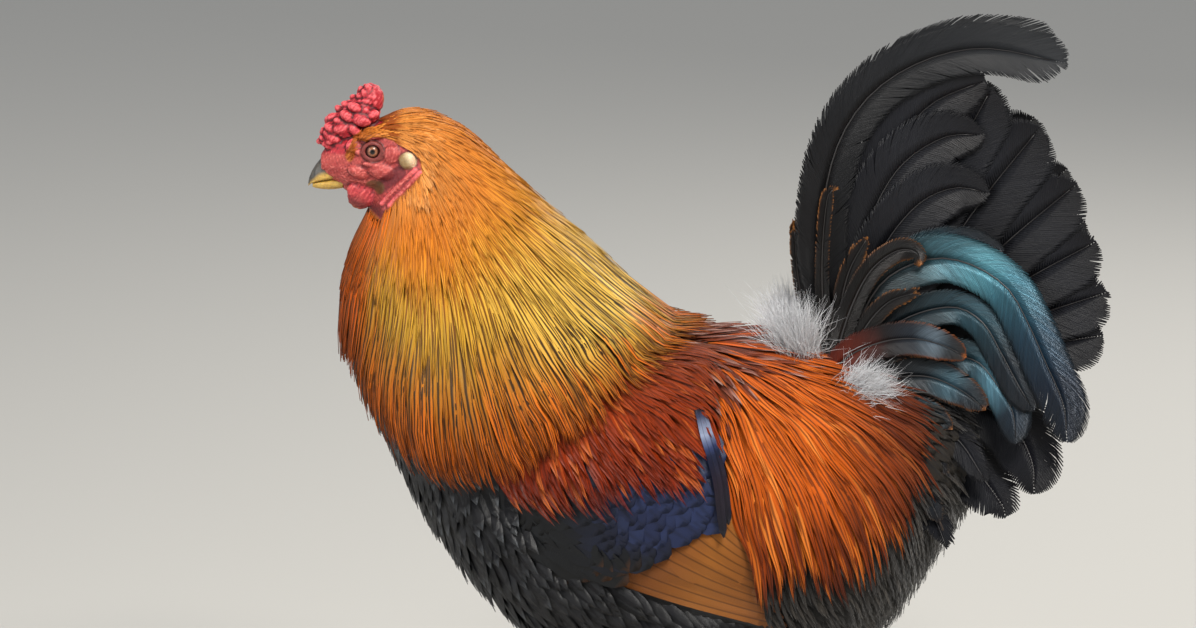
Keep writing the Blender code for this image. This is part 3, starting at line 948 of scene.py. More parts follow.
wet_eye = eye_finish()
for name, side in SIDES.items():
    eye = settle(primitive("uv_sphere", segments=64, ring_count=48, radius=EYE_RADIUS * MM,
                           rotation=(math.radians(90) * -side, 0, 0)))
    points = plan_points(eye) + PLAN_SHIFT
    off_axis = np.hypot(points[:, 0], points[:, 2])
    facing = points[:, 1] * side > 0
    points[:, 1] += side * facing * CORNEA_BULGE * (1 - ramp(off_axis, 1, CORNEA_EDGE))
    fibres = np.arctan2(points[:, 2], points[:, 0])
    streak = 0.5 + 0.5 * np.sin(fibres * 23 + 2 * np.sin(fibres * 7))
    tint = painted("#74402c", ("#a06c4c", streak), ("#35150f", ramp(off_axis, 2.4, 3.4)),
                   (DARK_OF_EYE, ramp(off_axis, IRIS - 0.4, IRIS + 0.5)))
    tint = mix("#050404", tint, ramp(off_axis, PUPIL - 0.15, PUPIL + 0.2))
    set_plan_points(eye, points + (EYE[0], side * EYE[1], EYE[2]))
    tinted(shaded_smooth(eye), np.where(facing[:, None], tint, linear(DARK_OF_EYE)))
    finished(eye, f"eyeball_{name}", "eye", wet_eye, f"eye_{name}")
    print(eye.name, len(eye.data.polygons), "faces")

# %% [markdown]
# ## How feathers are grown
# A feather springs from the skin, runs along it with its neighbours, and rises towards its tip to lie
# over the roots of the next. Hair systems don't travel with a model, so each feather is a closed blade of
# a few dozen faces, and the feathers of a tract are joined as one mesh. Tracts are drawn on a chart of the
# bird's profile, seen from a little above. `profile` finds a point's place on it, the same for both sides.

# %% The ground that feathers grow on
# Where the chart's viewer stands. The other side's viewer stands opposite
CHART_EYE = (-68, 2934, 979.7)
# Places tried for each one that can be kept
CROWD = 5


def profile(points):
    """Chart place x, z of points: where the chart's viewer sees them on the middle plane."""
    x, far, high = CHART_EYE
    spread = far / (far - np.abs(points[..., 1]))
    return x + (points[..., 0] - x) * spread, high + (points[..., 2] - high) * spread


def inside(outline, x, z):
    """Whether chart places lie in an outline."""
    found = np.zeros(np.shape(x), bool)
    for (x1, z1), (x2, z2) in zip(outline, outline[1:] + outline[:1]):
        found ^= ((z1 > z) != (z2 > z)) & (x < (x2 - x1) * (z - z1) / (z2 - z1 + 1e-9) + x1)
    return found


class Ground:
    """A skin surface that can be asked for its nearest place and direction."""

    def __init__(self, mesh):
        mesh.calc_loop_triangles()
        self.points = read(mesh.vertices, "co") / MM - PLAN_SHIFT
        self.normals = read(mesh.vertices, "normal")
        self.faces = read(mesh.loop_triangles, "vertices", 3, np.int32)
        self.tree = BVHTree.FromPolygons(self.points.tolist(), self.faces.tolist())

    def nearest(self, places):
        """The nearest surface points and the smooth directions outward from them."""
        spots, faces = np.empty_like(places), np.empty(len(places), int)
        for i, place_asked in enumerate(places.tolist()):
            spots[i], _, faces[i], _ = self.tree.find_nearest(place_asked)
        corners = self.points[self.faces[faces]]
        away = 1 / (np.linalg.norm(corners - spots[:, None], axis=2) + 0.05)
        normals = (self.normals[self.faces[faces]] * away[..., None]).sum(1)
        return spots, unit(normals)

    def scatter(self, wanted, spacing):
        """Random places at least a spacing apart, where wanted says so of the point."""
        corners = self.points[self.faces]
        corners = corners[wanted(corners.mean(1))]
        first, second = corners[:, 1] - corners[:, 0], corners[:, 2] - corners[:, 0]
        area = 0.5 * np.linalg.norm(np.cross(first, second), axis=1)
        tries = int(CROWD * area.sum() / spacing**2)
        chosen = corners[chance.choice(len(corners), tries, p=area / area.sum())]
        a, b = chance.random((2, tries, 1))
        flip = a + b > 1
        a, b = np.where(flip, 1 - a, a), np.where(flip, 1 - b, b)
        tried = chosen[:, 0] + a * (chosen[:, 1] - chosen[:, 0]) + b * (chosen[:, 2] - chosen[:, 0])
        tried = tried[wanted(tried)]
        return tried[thinned(tried, spacing)]


def thinned(places, spacing):
    """Indices of places that lie at least a spacing apart, sought cell by cell."""
    cells, kept = {}, []
    around = [(i, j, k) for i in (-1, 0, 1) for j in (-1, 0, 1) for k in (-1, 0, 1)]
    own_cells = np.floor(places / spacing).astype(int).tolist()
    for index, ((x, y, z), (i, j, k)) in enumerate(zip(places.tolist(), own_cells)):
        near = (other for di, dj, dk in around for other in cells.get((i + di, j + dj, k + dk), ()))
        if all((x - x2)**2 + (y - y2)**2 + (z - z2)**2 > spacing**2 for x2, y2, z2 in near):
            cells.setdefault((i, j, k), []).append((x, y, z))
            kept.append(index)
    return kept


body_ground = Ground(BODY_SURFACE)
head_ground = Ground(HEAD_SURFACE)
print("ground faces", len(body_ground.faces), len(head_ground.faces))

# %% [markdown]
# Feathers follow strokes, as hair follows a comb. A stroke is a place on the chart and a direction.
# Between strokes the direction is blended, nearer ones counting more, and then laid flat on the skin.

# %% Strokes of the comb
# Chart place x, z, then direction along x and z
STROKES = np.array([
    (-222, 466, 0.5, 0.9), (-214, 474, 0.9, 0.4), (-200, 479, 1, 0.05), (-188, 482, 1, -0.05),
    (-170, 477, 0.9, -0.4), (-150, 464, 0.8, -0.6), (-125, 450, 0.75, -0.65), (-190, 468, 0.8, -0.5),
    (-176, 452, 0.45, -0.9), (-200, 425, 0.1, -1), (-185, 438, 0.25, -1), (-214, 410, 0, -1),
    (-220, 380, 0, -1), (-222, 340, 0.03, -1), (-207, 300, 0.13, -1), (-195, 350, 0.05, -1),
    (-172, 300, 0.13, -1), (-150, 270, 0.18, -1), (-180, 400, 0.1, -1), (-160, 420, 0.3, -1),
    (-145, 350, 0.2, -1), (-130, 390, 0.45, -1), (-110, 340, 0.4, -1), (-110, 280, 0.32, -1),
    (-100, 410, 0.62, -1), (-75, 330, 0.6, -1), (-75, 300, 0.55, -0.9), (-55, 375, 0.75, -1),
    (-35, 340, 0.9, -0.9), (0, 348, 1, -0.45), (40, 345, 1, -0.35), (80, 340, 1, -0.25),
    (110, 318, 1, -0.3), (2, 325, 0.22, -1), (10, 290, 0.16, -1), (18, 240, 0.1, -1),
    (25, 190, 0.05, -1), (40, 310, 0.6, -0.85), (55, 270, 0.42, -0.9), (62, 215, 0.22, -1),
    (85, 310, 0.85, -0.6), (95, 270, 0.62, -0.8), (100, 215, 0.25, -1), (118, 250, 0.45, -0.9),
    (128, 215, 0.15, -1), (122, 285, 0.8, -0.55), (-125, 262, 0.45, -0.9), (-95, 290, 0.5, -0.87),
    (-60, 300, 0.55, -0.84), (-75, 255, 0.5, -0.87), (-40, 260, 0.6, -0.8), (-12, 262, 0.65, -0.76),
    (-15, 295, 0.65, -0.76), (-35, 320, 0.8, -0.6), (-115, 225, 0.75, -0.66), (-80, 215, 0.85, -0.5),
    (-30, 215, 0.85, -0.5), (2, 225, 0.75, -0.66), (-205, 270, 0.45, -0.9), (-180, 235, 0.5, -0.86),
    (-150, 190, 0.58, -0.8), (-110, 160, 0.8, -0.6), (-70, 145, 0.95, -0.35), (0, 128, 1, -0.1),
    (-60, 110, 0.6, -0.8), (0, 100, 0.3, -1), (60, 150, 0.6, -0.8), (100, 165, 0.5, -0.85),
    (135, 200, 0.5, -0.85), (150, 250, 0.7, -0.7), (165, 285, 0.9, -0.4),
], float)
STROKE_REACH = 10


def combed(points):
    """The direction that feathers take at these points, before it is laid on the skin."""
    x, z = profile(points)
    near = 1 / ((x[:, None] - STROKES[:, 0])**2 + (z[:, None] - STROKES[:, 1])**2 + STROKE_REACH**2)**2
    way = unit(STROKES[:, 2:])
    blended = near @ way / near.sum(1)[:, None]
    return np.stack([blended[:, 0], np.zeros(len(points)), blended[:, 1]], axis=1)


def laid(ways, normals):
    """Directions with what points off the skin taken away."""
    return unit(ways - (ways * normals).sum(-1, keepdims=True) * normals)


print("strokes", len(STROKES))

# %% [markdown]
# A blade has four points at each station along it: left edge, ridge, right edge and underside. The ridge
# is the quill, and the width follows an outline, such as the lance of a neck feather or the spade of a
# covert. A blade has one colour for the vane and one for the quill's stripe. One small map across and
# along the vane lets the finish draw barbs. The other, OFBake, gives each blade a patch of its own.

# %% Blades
# Side of a blade's patch on the OFBake map
PATCH = 0.003
MARGIN, USED = 0.02, 0.96
# The roots' map is unrolled round an upright axis in the neck or a level one in the trunk
NECK_AXIS_X, TRUNK_AXIS_Z = -150, 235


def lance(share):
    """Outline of a neck or saddle feather: widest at a third, then a long taper."""
    taper = 1 - np.clip((share - 0.32) / 0.68, 0, 1)**1.5
    return (0.45 + 0.55 * ramp(share, 0, 0.3)) * np.clip(taper, 0.02, 1)


def spade(share):
    """Outline of a covert: full width, then a round tip."""
    tip = 1 - (np.clip((share - 0.62) / 0.385, 0, 1))**2
    return np.clip(0.5 + 1.4 * share, 0, 1) * np.sqrt(np.clip(tip, 0.003, 1))


def leaf(share):
    """Outline of a body feather, between a lance and a spade."""
    taper = 1 - np.clip((share - 0.45) / 0.55, 0, 1)**2.2
    return np.clip(0.45 + 1.5 * share, 0, 1) * np.clip(taper, 0.02, 1)


def run_on(ground, roots, lengths, stations, turn, cling, follow):
    """Lines from roots that follow the strokes over the skin: places, directions, normals."""
    here, up = ground.nearest(roots)
    way = laid(combed(here), up)
    side = np.cross(up, way)
    angle = turn * chance.normal(size=(len(roots), 1))
    way = way * np.cos(angle) + side * np.sin(angle)
    step = (lengths / (stations - 1))[:, None]
    spots, ways, ups = [here], [way], [up]
    for _ in range(stations - 1):
        ahead = here + way * step
        ground_spot, up = ground.nearest(ahead)
        clear = np.clip(((ahead - ground_spot) * up).sum(1)[:, None] * (1 - cling), 0, 60)
        here = ground_spot + up * clear
        way = laid((1 - follow) * way + follow * laid(combed(here), up), up)
        spots.append(here)
        ways.append(way)
        ups.append(up)
    return np.stack(spots, 1), np.stack(ways, 1), np.stack(ups, 1)


def corners_of(spots, ways, ups, half, camber, thick):
    """The four points at each station of each blade."""
    side = np.cross(ups, ways)
    half = half[..., None]
    drop = camber * half * ups
    ridge, underside = spots + 0.5 * thick * ups, spots - 0.5 * thick * ups
    return np.stack([spots - side * half - drop, ridge, spots + side * half - drop, underside], axis=-2)


def blade_faces(count, stations):
    """Faces of closed blades, each with four points at every station."""
    faces = []
    for a in range(0, 4 * (stations - 1), 4):
        for i in range(4):
            j = (i + 1) % 4
            faces.append((a + i, a + j, a + 4 + j, a + 4 + i))
    end = 4 * (stations - 1)
    faces += [(3, 2, 1, 0), (end, end + 1, end + 2, end + 3)]
    one = np.array(faces)[:, ::-1]
    return (one[None] + 4 * stations * np.arange(count)[:, None, None]).reshape(-1, 4)


def blades(name, corners, patches, vane_colour, stripe_colour):
    """One mesh of closed blades from their corners, OFBake patches and two colours."""
    count, stations = corners.shape[:2]
    mesh = bpy.data.meshes.new(name)
    points = (corners.reshape(-1, 3) + PLAN_SHIFT) * MM
    faces = blade_faces(count, stations)
    mesh.vertices.add(len(points))
    mesh.vertices.foreach_set("co", points.ravel())
    mesh.loops.add(faces.size)
    mesh.loops.foreach_set("vertex_index", faces.ravel())
    mesh.polygons.add(len(faces))
    mesh.polygons.foreach_set("loop_start", np.arange(0, faces.size, 4))
    mesh.polygons.foreach_set("use_smooth", np.ones(len(faces), bool))
    mesh.update(calc_edges=True)
    # The edges along a blade's left and right rim are sharp
    kind = read(mesh.edges, "vertices", 2, np.int64) % 4
    rim = (kind[:, 0] == kind[:, 1]) & (kind[:, 0] % 2 == 0)
    sharp = mesh.attributes.new("sharp_edge", "BOOLEAN", "EDGE")
    sharp.data.foreach_set("value", rim)
    across = np.broadcast_to(np.array([0, 0.5, 1, 0.5]), (count, stations, 4))
    along = np.broadcast_to(np.linspace(0, 1, stations)[None, :, None], (count, stations, 4))
    flat = np.stack([across, along], -1).reshape(-1, 2)
    spread = (flat - 0.5) * PATCH + np.repeat(patches, stations * 4, axis=0)
    for map_name, places in (("vane", flat), ("OFBake", spread)):
        layer = mesh.uv_layers.new(name=map_name)
        layer.data.foreach_set("uv", places[faces.ravel()].ravel())
    for layer_name, colour in (("vane_colour", vane_colour), ("stripe_colour", stripe_colour)):
        layer = mesh.attributes.new(layer_name, "FLOAT_COLOR", "POINT")
        full = np.ones((count, stations, 4, 4))
        full[..., :3] = colour[:, :, None, :]
        layer.data.foreach_set("color", full.ravel())
    return linked(name, mesh)


def unrolled(points, round_axis):
    """Places of roots on the skin unrolled round the neck ("z") or the trunk ("x")."""
    x, y, z = points.T
    if round_axis == "z":
        angle, high = np.arctan2(y, x - NECK_AXIS_X), (z - 230) / 270
    else:
        angle, high = np.arctan2(y, z - TRUNK_AXIS_Z), (x + 240) / 490
    return MARGIN + USED * np.stack([angle / (math.tau) + 0.5, np.clip(high, 0, 1)], axis=1)


def factors(roots, low, span):
    """A random factor for each root, from low to low + span."""
    return low + span * chance.random(len(roots))


def halves(roots):
    """The left half of the roots and the right half, as indices."""
    order = np.argsort(roots[:, 1])
    return zip(SIDES, (order[:len(order) // 2], order[len(order) // 2:]))


def tract(name, slot, finish, roots, lengths, widths, outline, stations, lift, colours, ground=None,
          turn=0.08, cling=1, camber=0.12, thick=0.45, root_height=0.4, rise=0.8, axis="x", follow=0.5,
          loose=0.5, uneven=0.25):
    """Feathers of one tract as one piece. lift is how far tips stand off; colours paints them."""
    spots, ways, ups = run_on(ground or body_ground, roots, lengths, stations, turn, cling, follow)
    share = np.linspace(0, 1, stations)
    lift = np.broadcast_to(lift, len(roots)) * (1 + uneven * (chance.random(len(roots)) - 0.5))
    root_height = np.broadcast_to(root_height, len(roots))
    loose_rise = loose * chance.random((len(roots), 1)) * share
    stand = root_height[:, None] + (lift - root_height)[:, None] * share**rise + loose_rise
    spots = spots + ups * stand[..., None]
    half = 0.5 * np.broadcast_to(widths, len(roots))[:, None] * outline(share)
    vane, stripe = colours(spots, share, chance.random((len(roots), 1)))
    corners = corners_of(spots, ways, ups, half, camber, thick)
    piece = finished(blades(name, corners, unrolled(roots, axis), vane, stripe), name, slot, finish)
    print(name, len(roots), "feathers,", 2 * len(piece.data.polygons), "triangles")


# %% [markdown]
# ## Feather finishes
# All small feathers share one recipe. The quill's stripe is drawn by the distance across the vane. Barbs
# are fine ridges that slant from the quill to the edge, break up the colour and give a vane its satin
# look. Real ones are 0.3 mm apart, too fine to show, so each one here stands for a handful.

# %% Vane finish
def vane_finish(name, roughness, barbs, slant, stripe, contrast=0.16, bump=0.5, specular=0.5, metallic=0,
                sheen=0, coat=0):
    """Feather keratin. barbs is how many show along a vane; stripe, where the quill's stripe fades."""
    material, tree, shader = new_finish(
        name, Roughness=roughness, Metallic=metallic, Specular_IOR_Level=specular, Sheen_Weight=sheen,
        Coat_Weight=coat, Coat_Roughness=0.25)

    def math_node(operation, *values):
        inputs = {f"in{number}": value for number, value in enumerate(values)}
        return add(tree, "Math", {"operation": operation}, **inputs)

    vane = add(tree, "UVMap", {"uv_map": "vane"})
    on_vane = add(tree, "SeparateXYZ", Vector=vane)
    across = math_node("ABSOLUTE", math_node("SUBTRACT", on_vane, 0.5))
    edge = add(tree, "MapRange", {"interpolation_type": "SMOOTHSTEP"}, Value=across,
               From_Min=stripe[0], From_Max=stripe[1])
    outer = add(tree, "Attribute", {"attribute_name": "vane_colour"})
    inner = add(tree, "Attribute", {"attribute_name": "stripe_colour"})
    colour = blend(tree, edge, inner, outer)
    lean = math_node("MULTIPLY_ADD", across, -slant, on_vane.outputs[1])
    here = add(tree, "TexCoord")
    clump = add(tree, "TexNoise", Vector=here.outputs["Object"], Scale=420, Detail=2)
    even = math_node("MULTIPLY_ADD", lean, barbs * math.tau, clump)
    wave = math_node("SINE", math_node("MULTIPLY_ADD", clump, 5, even))
    tone = add(tree, "MapRange", Value=wave, From_Min=-1, From_Max=1,
               To_Min=1 - contrast, To_Max=1 + 0.6 * contrast)
    scaled_colour(tree, shader, colour, tone)
    raised(tree, shader, wave, bump, 0.0003)
    return material


def shades(stops, value):
    """Linear colours read from a strip of rising stops (value, screen colour)."""
    at = [stop for stop, _ in stops]
    codes = np.array([linear(code) for _, code in stops])
    return np.stack([np.interp(value, at, codes[:, channel]) for channel in range(3)], axis=-1)


def varied(colours, luck, amount=0.2):
    """Colours made lighter or darker, each feather by its own luck."""
    return colours * (1 + amount * (2 * luck - 1))[..., None]


# %% [markdown]
# ## The hackle
# The cape of lances round the neck is what a cock is first known by. It starts in bristles behind the
# face and ends in a fringe over breast, wing and back. The fringe is drawn on the chart as a distance from
# the cheek for each angle, and every feather stops near it. Colour runs with the share of that distance.

# %% Hackle chart
CHEEK = (-190, 450)
# Angle from straight down, in degrees, and the distance of the fringe from the cheek
HACKLE_FRINGE = [(-60, 95), (-30, 118), (-16, 130), (-8, 158), (0, 182), (8, 198), (18, 207), (30, 204),
                 (45, 202), (57, 214), (75, 220), (110, 200)]
HACKLE_FRONT = [(0, "#d46a1e"), (0.35, "#d26214"), (0.7, "#c85a0e"), (0.9, "#b44c0b"), (1.05, "#96420b")]
HACKLE_MIDDLE = [(0, "#e0944a"), (0.24, "#da7e26"), (0.35, "#d98622"), (0.47, "#d49f34"), (0.58, "#c4942e"),
                 (0.7, "#b5741c"), (0.84, "#ba661a"), (0.95, "#ba5a10"), (1.06, "#a84c0c")]
HACKLE_BACK = [(0, "#e0944a"), (0.22, "#da8434"), (0.36, "#d9922e"), (0.5, "#dfae48"), (0.78, "#e2b850"),
               (0.9, "#c4872e"), (0.98, "#ae611e"), (1.06, "#8a4012")]
HACKLE_STRIPE = [(0, "#cc8040"), (0.24, "#bb681e"), (0.42, "#96581a"), (0.58, "#5b3b12"), (0.8, "#2a1e10"),
                 (0.9, "#4a260f"), (1.06, "#3a1c10")]
# The collar's finer feathers end this far from the cheek, and the larger ones start before that
COLLAR, COLLAR_LAP = 52, 12


def from_source(points, source, fringe_chart):
    """Share of the way from source to fringe, the fringe's distance, and the angle from plumb."""
    x, z = profile(points)
    away_x, away_z = x - source[0], z - source[1]
    angle = np.degrees(np.arctan2(away_x, -away_z))
    fringe = np.interp(angle, *np.transpose(fringe_chart))
    return np.hypot(away_x, away_z) / fringe, fringe, angle


def from_cheek(points):
    """Share, fringe and angle of points seen from the cheek."""
    return from_source(points, CHEEK, HACKLE_FRINGE)


def near_hackle(points, covered, clear):
    """1 where the hackle covers the points, fading to 0 between two shares of its reach."""
    return 1 - ramp(from_cheek(points)[0], covered, clear)


def hackle_colours(spots, share, luck):
    """Gold with dark quills, paler behind, plain orange in front, rust at the fringe; painted shade darkens
    the front edge.
    """
    reach, _, angle = from_cheek(spots)
    reach = reach + 0.07 * (luck - 0.5)
    front = ramp(-angle + 6 * (luck - 0.5), 6, 22)
    back = ramp(angle + 8 * (luck - 0.5), 24, 50)
    near_tip = np.broadcast_to(share, reach.shape)
    bright = 0.75 * ramp(luck, 0.5, 0.85) * ramp(reach, 0.72, 0.94) * (1 - 0.7 * front)
    # The dark red-brown towards the front edge is painted shade
    vane = painted(
        shades(HACKLE_MIDDLE, reach), (shades(HACKLE_BACK, reach), back),
        (shades(HACKLE_FRONT, reach), front), ("#5a200f", 0.6 * ramp(-angle, 24, 44)),
        ("#8f3f12", 0.35 * ramp(near_tip, 0.72, 1) * ramp(reach, 0.6, 0.95)),
        ("#cc6416", bright), ("#4a210e", 0.55 * ramp(-luck, -0.3, -0.05) * ramp(reach, 0.7, 0.92)))
    stripe = mix(shades(HACKLE_STRIPE, reach), "#5c2a10", 0.5 * front)
    return varied(vane, luck, 0.16), varied(stripe, luck, 0.2)


def neck_wanted(points):
    """Skin of the neck outside the bare face and the throat."""
    reach, fringe, _ = from_cheek(points)
    x, _, z = points.T
    feathered = (face_mask(points) < 0.3) & (x > -226) & (x < 20)
    behind_head = x + 0.25 * (z - 450) > -197
    room = (reach < 0.8) & (fringe * (1 - reach) > 26)
    return feathered & (behind_head | (z < 436)) & room


def collar_wanted(points):
    """The part of the neck next to the head."""
    reach, fringe, _ = from_cheek(points)
    return neck_wanted(points) & (reach * fringe < COLLAR)


def hackle_wanted(points):
    """The rest of the neck, lapping under the collar's tips."""
    reach, fringe, _ = from_cheek(points)
    return neck_wanted(points) & (reach * fringe > COLLAR - COLLAR_LAP) & (points[:, 2] > 250)


hackle_vane = vane_finish("hackle_keratin", 0.42, 40, 0.35, (0.07, 0.24), specular=0.2)
# Tract: where it grows, spacing, stations of a feather, height of its root
HACKLE_TRACTS = {"collar": (collar_wanted, 1.95, 6, 1.7), "hackle": (hackle_wanted, 3.4, 9, 0.9)}
for part, (wanted, spacing, stations, root_height) in HACKLE_TRACTS.items():
    roots = body_ground.scatter(wanted, spacing)
    reach, fringe, _ = from_cheek(roots)
    lengths = np.clip(5 + 0.72 * (fringe * reach), 8, 98) * factors(roots, 0.85, 0.3)
    lengths = np.minimum(lengths, fringe * (1 - reach) * factors(roots, 0.77, 0.4))
    widths = np.clip(1 + 0.055 * lengths, 1.4, 6) * factors(roots, 0.8, 0.4)
    lift = np.clip(2.6 + 0.062 * lengths, 3.2, 8.2) + 3.2 * ramp(reach + lengths / fringe, 0.78, 1)
    for side, chosen in halves(roots):
        tract(f"{part}_{side}", "hackle", hackle_vane, roots[chosen], lengths[chosen], widths[chosen], lance,
              stations, lift[chosen], hackle_colours, axis="z", turn=0.09, camber=0.18, follow=0.55,
              root_height=root_height)

# %% [markdown]
# ## Head feathers
# On the crown, over the brow and round the ear the feathers are hardly longer than bristles. They grow
# from the fine surface of the head, so each follows its smallest forms.

# %% Head tract
THROAT_PATCH = ((-205, 9, 440), (6.5, 8, 5))
HEAD_SHADES = [(-226, "#a0481a"), (-216, "#b0561c"), (-206, "#cb7423"), (-190, "#da8838"), (-165, "#e0944a")]


def head_wanted(points):
    """The crown, the brow and the back of the cheek, outside all that is bare."""
    x, y, z = points.T
    masks = face_mask(points), comb_mask(points), inside_lumps(points, WATTLE_LUMPS + LOBE_LUMPS, 1)
    lid = (np.hypot(x - EYE[0], z - EYE[2]) < 8) & (np.abs(y) > LIDS_BEYOND)
    comb_end = (z > 479) & (x < -196)
    feathered = (np.max(masks, axis=0) < 0.45) & ~lid & ~comb_end
    return feathered & (x > -225.5) & (x < -174) & (z > 437)


def head_colours(spots, share, luck):
    """Rust over the bill, orange from the crown backward, and a duller throat."""
    x, _ = profile(spots)
    on_throat = inside_lumps(spots.reshape(-1, 3), [THROAT_PATCH], 1).reshape(x.shape)
    vane = painted(shades(HEAD_SHADES, x), ("#8c6a3c", 0.7 * on_throat),
                   ("#e0a050", 0.15 * np.broadcast_to(share, x.shape) * luck))
    return varied(vane, luck, 0.22), varied(0.62 * vane, luck, 0.2)


roots = head_ground.scatter(head_wanted, 1.3)
behind = ramp(roots[:, 0] - 0.2 * (roots[:, 2] - 450), -212, -170)
lengths = (3.6 + 12 * behind) * factors(roots, 0.8, 0.4)
widths = (1 + 0.75 * behind) * factors(roots, 0.8, 0.4)
short_vane = vane_finish("short_plume_keratin", 0.5, 8, 0.4, (0.05, 0.3), contrast=0.08, bump=0.2,
                         specular=0.25)
tract("head_feathers", "hackle", short_vane, roots, lengths, widths, leaf, 4, 1 + 1.4 * behind,
      head_colours, ground=head_ground, turn=0.12, camber=0.15, thick=0.3, root_height=0.15, rise=0.9,
      axis="z", loose=0.35)

# %% [markdown]
# ## Breast, belly and thighs
# Below the hackle a black-red cock is black. His breast feathers are broad and round-tipped, and a
# painted grey glint on their rims, where the edges catch the light, makes the breast read as scales.

# %% Charts of the body tracts
HACKLE_COVER = 0.88
SADDLE_SOURCE = (4, 371)
# Angle from straight down, in degrees, and the distance of the saddle's fringe from its source
SADDLE_FRINGE = [(-12, 60), (-6, 76), (0, 108), (3, 135), (5.5, 194), (19, 197), (26, 208), (39, 198),
                 (50, 172), (55, 146), (65, 118), (90, 118)]
BOW = [(-136, 262), (-118, 312), (-67, 345), (-20, 345), (-12, 322), (-16, 280), (-20, 264), (-44, 262),
       (-92, 256), (-126, 250)]
WING_BAR = [(-126, 248), (-60, 246), (-38, 254), (4, 262), (8, 224), (-6, 214), (-28, 204), (-51, 191),
            (-72, 188), (-98, 193), (-125, 207)]
WING_REST = [(-130, 250), (-122, 212), (-98, 197), (-66, 188), (-40, 176), (0, 163), (50, 158), (60, 200),
             (30, 300), (-40, 330), (-110, 310)]
BACK_TRACT = [(-70, 372), (-62, 318), (-30, 300), (-6, 306), (14, 322), (52, 329), (92, 332), (100, 352),
              (40, 372)]
# A point further out than this lies on the bird's flank
FLANK = 30


def from_saddle(points):
    """Share, fringe and angle of points seen from the saddle's source."""
    return from_source(points, SADDLE_SOURCE, SADDLE_FRINGE)


def breast_wanted(points):
    """Everything below hackle and wing and outside the saddle, down to the hocks."""
    x, z = profile(points)
    saddle, _, angle = from_saddle(points)
    under_saddle = (saddle < 0.84) & (angle > -2) & (angle < 60)
    covered = from_cheek(points)[0] < HACKLE_COVER - 0.12 * ramp(-points[:, 0], 150, 190)
    in_reach = (z < np.where(x < -100, 368, 300)) & (points[:, 2] > 104)
    return in_reach & ~covered & ~inside(WING_REST, x, z) & ~under_saddle


def breast_colours(spots, share, luck):
    """Black, with a painted grey glint on the rims of some feathers, strongest in front, and a brown cast on
    the thighs.
    """
    x, z = profile(spots)
    # Painted highlight: a grey glint near the tips of some feathers, strongest on the front of the breast
    rim = ramp(np.broadcast_to(share, x.shape), 0.8, 0.97)
    front_glint = (1 - ramp(x, -150, -60)) * (1 - ramp(z, 255, 285) * 0.3)
    vane = painted(mix("#08080b", "#141418", luck), ("#868c92", rim * (0.04 + 0.7 * front_glint) * luck**3),
                   ("#2e2923", 0.7 * ramp(x, 40, 110)))
    return vane, mix(0.7 * vane, "#17171b", 0.5)


breast_vane = vane_finish("breast_keratin", 0.36, 26, 0.7, (0, 0.12), contrast=0.22, specular=0.3)
roots = body_ground.scatter(breast_wanted, 5.2)
low = 1 - ramp(roots[:, 2], 100, 160)
lengths = (29 - 10 * low) * factors(roots, 0.8, 0.4)
widths = (10.5 - 2 * low) * factors(roots, 0.8, 0.4)
lift = 7 - 4.3 * low - 3.5 * near_hackle(roots, 0.88, 1.1)
tract("breast_feathers", "body_plumage", breast_vane, roots, lengths, widths, leaf, 6, lift, breast_colours,
      turn=0.15, camber=0.2, thick=0.4, rise=0.9, loose=1.2)

# %% [markdown]
# Down is a feather whose barbs do not hook together. Narrow, limp strands of it, dark ones, close the
# belly behind the legs.

# %% Dark down of the vent
def vent_wanted(points):
    """The belly behind the legs, and the skin between the tail's two rows of feathers."""
    x, z = profile(points)
    saddle, _, angle = from_saddle(points)
    low = (x > 35) & (z < 225) & (points[:, 2] > 112) | (x > 118) & (z < 262)
    between_tail_rows = (points[:, 0] > 112) & (np.abs(points[:, 1]) < 30) & (z < 330)
    return low & ((saddle > 0.84) | (angle > 60)) | between_tail_rows


def vent_colours(spots, share, luck):
    """Brownish black, with a paler strand here and there."""
    tone = mix("#171412", "#3a342d", luck**2 * ramp(share, 0.2, 1)[None, :])
    return tone, 0.8 * tone


down_strand = vane_finish("down", 0.75, 6, 0.2, (0, 0.4), contrast=0.1, specular=0.25, sheen=0.3)
roots = body_ground.scatter(vent_wanted, 3.4)
tract("vent_down", "body_plumage", down_strand, roots, 26 * factors(roots, 0.7, 0.6), 2.4, leaf, 6, 9.5,
      vent_colours, turn=0.35, cling=0.75, camber=0, thick=0.3, loose=3)

# %% [markdown]
# ## The wing
# A folded wing shows its tracts in bands. The bow, at the shoulder, is maroon and silky. Below it the
# coverts make the blue-black bar, whose lower edge is stepped, tip by tip. From under the bar come the
# secondaries, whose tan outer vanes form the bay.

# %% Wing bow
BOW_SHADES = [(215, "#551a06"), (245, "#7a2406"), (290, "#923208"), (330, "#84391c")]


def bow_wanted(points):
    """The shoulder and the upper wing, outside the hackle."""
    return inside(BOW, *profile(points)) & (from_cheek(points)[0] > 0.84) & (np.abs(points[:, 1]) > FLANK)


def bow_colours(spots, share, luck):
    """Maroon that darkens downward, a painted orange highlight on some tips, and a blue cast next to the bar.
    """
    x, z = profile(spots)
    # The orange on some tips is a painted highlight
    vane = painted(
        shades(BOW_SHADES, z + 14 * (luck - 0.5)),
        ("#c4682c", ramp(luck, 0.75, 1) * 0.6 * ramp(share, 0.3, 0.8)[None, :]),
        ("#222a4a", 0.5 * (1 - ramp(z, 232, 246)) * ramp(x, -90, -20)))
    return varied(vane, luck, 0.2), varied(0.5 * vane, luck, 0.2)


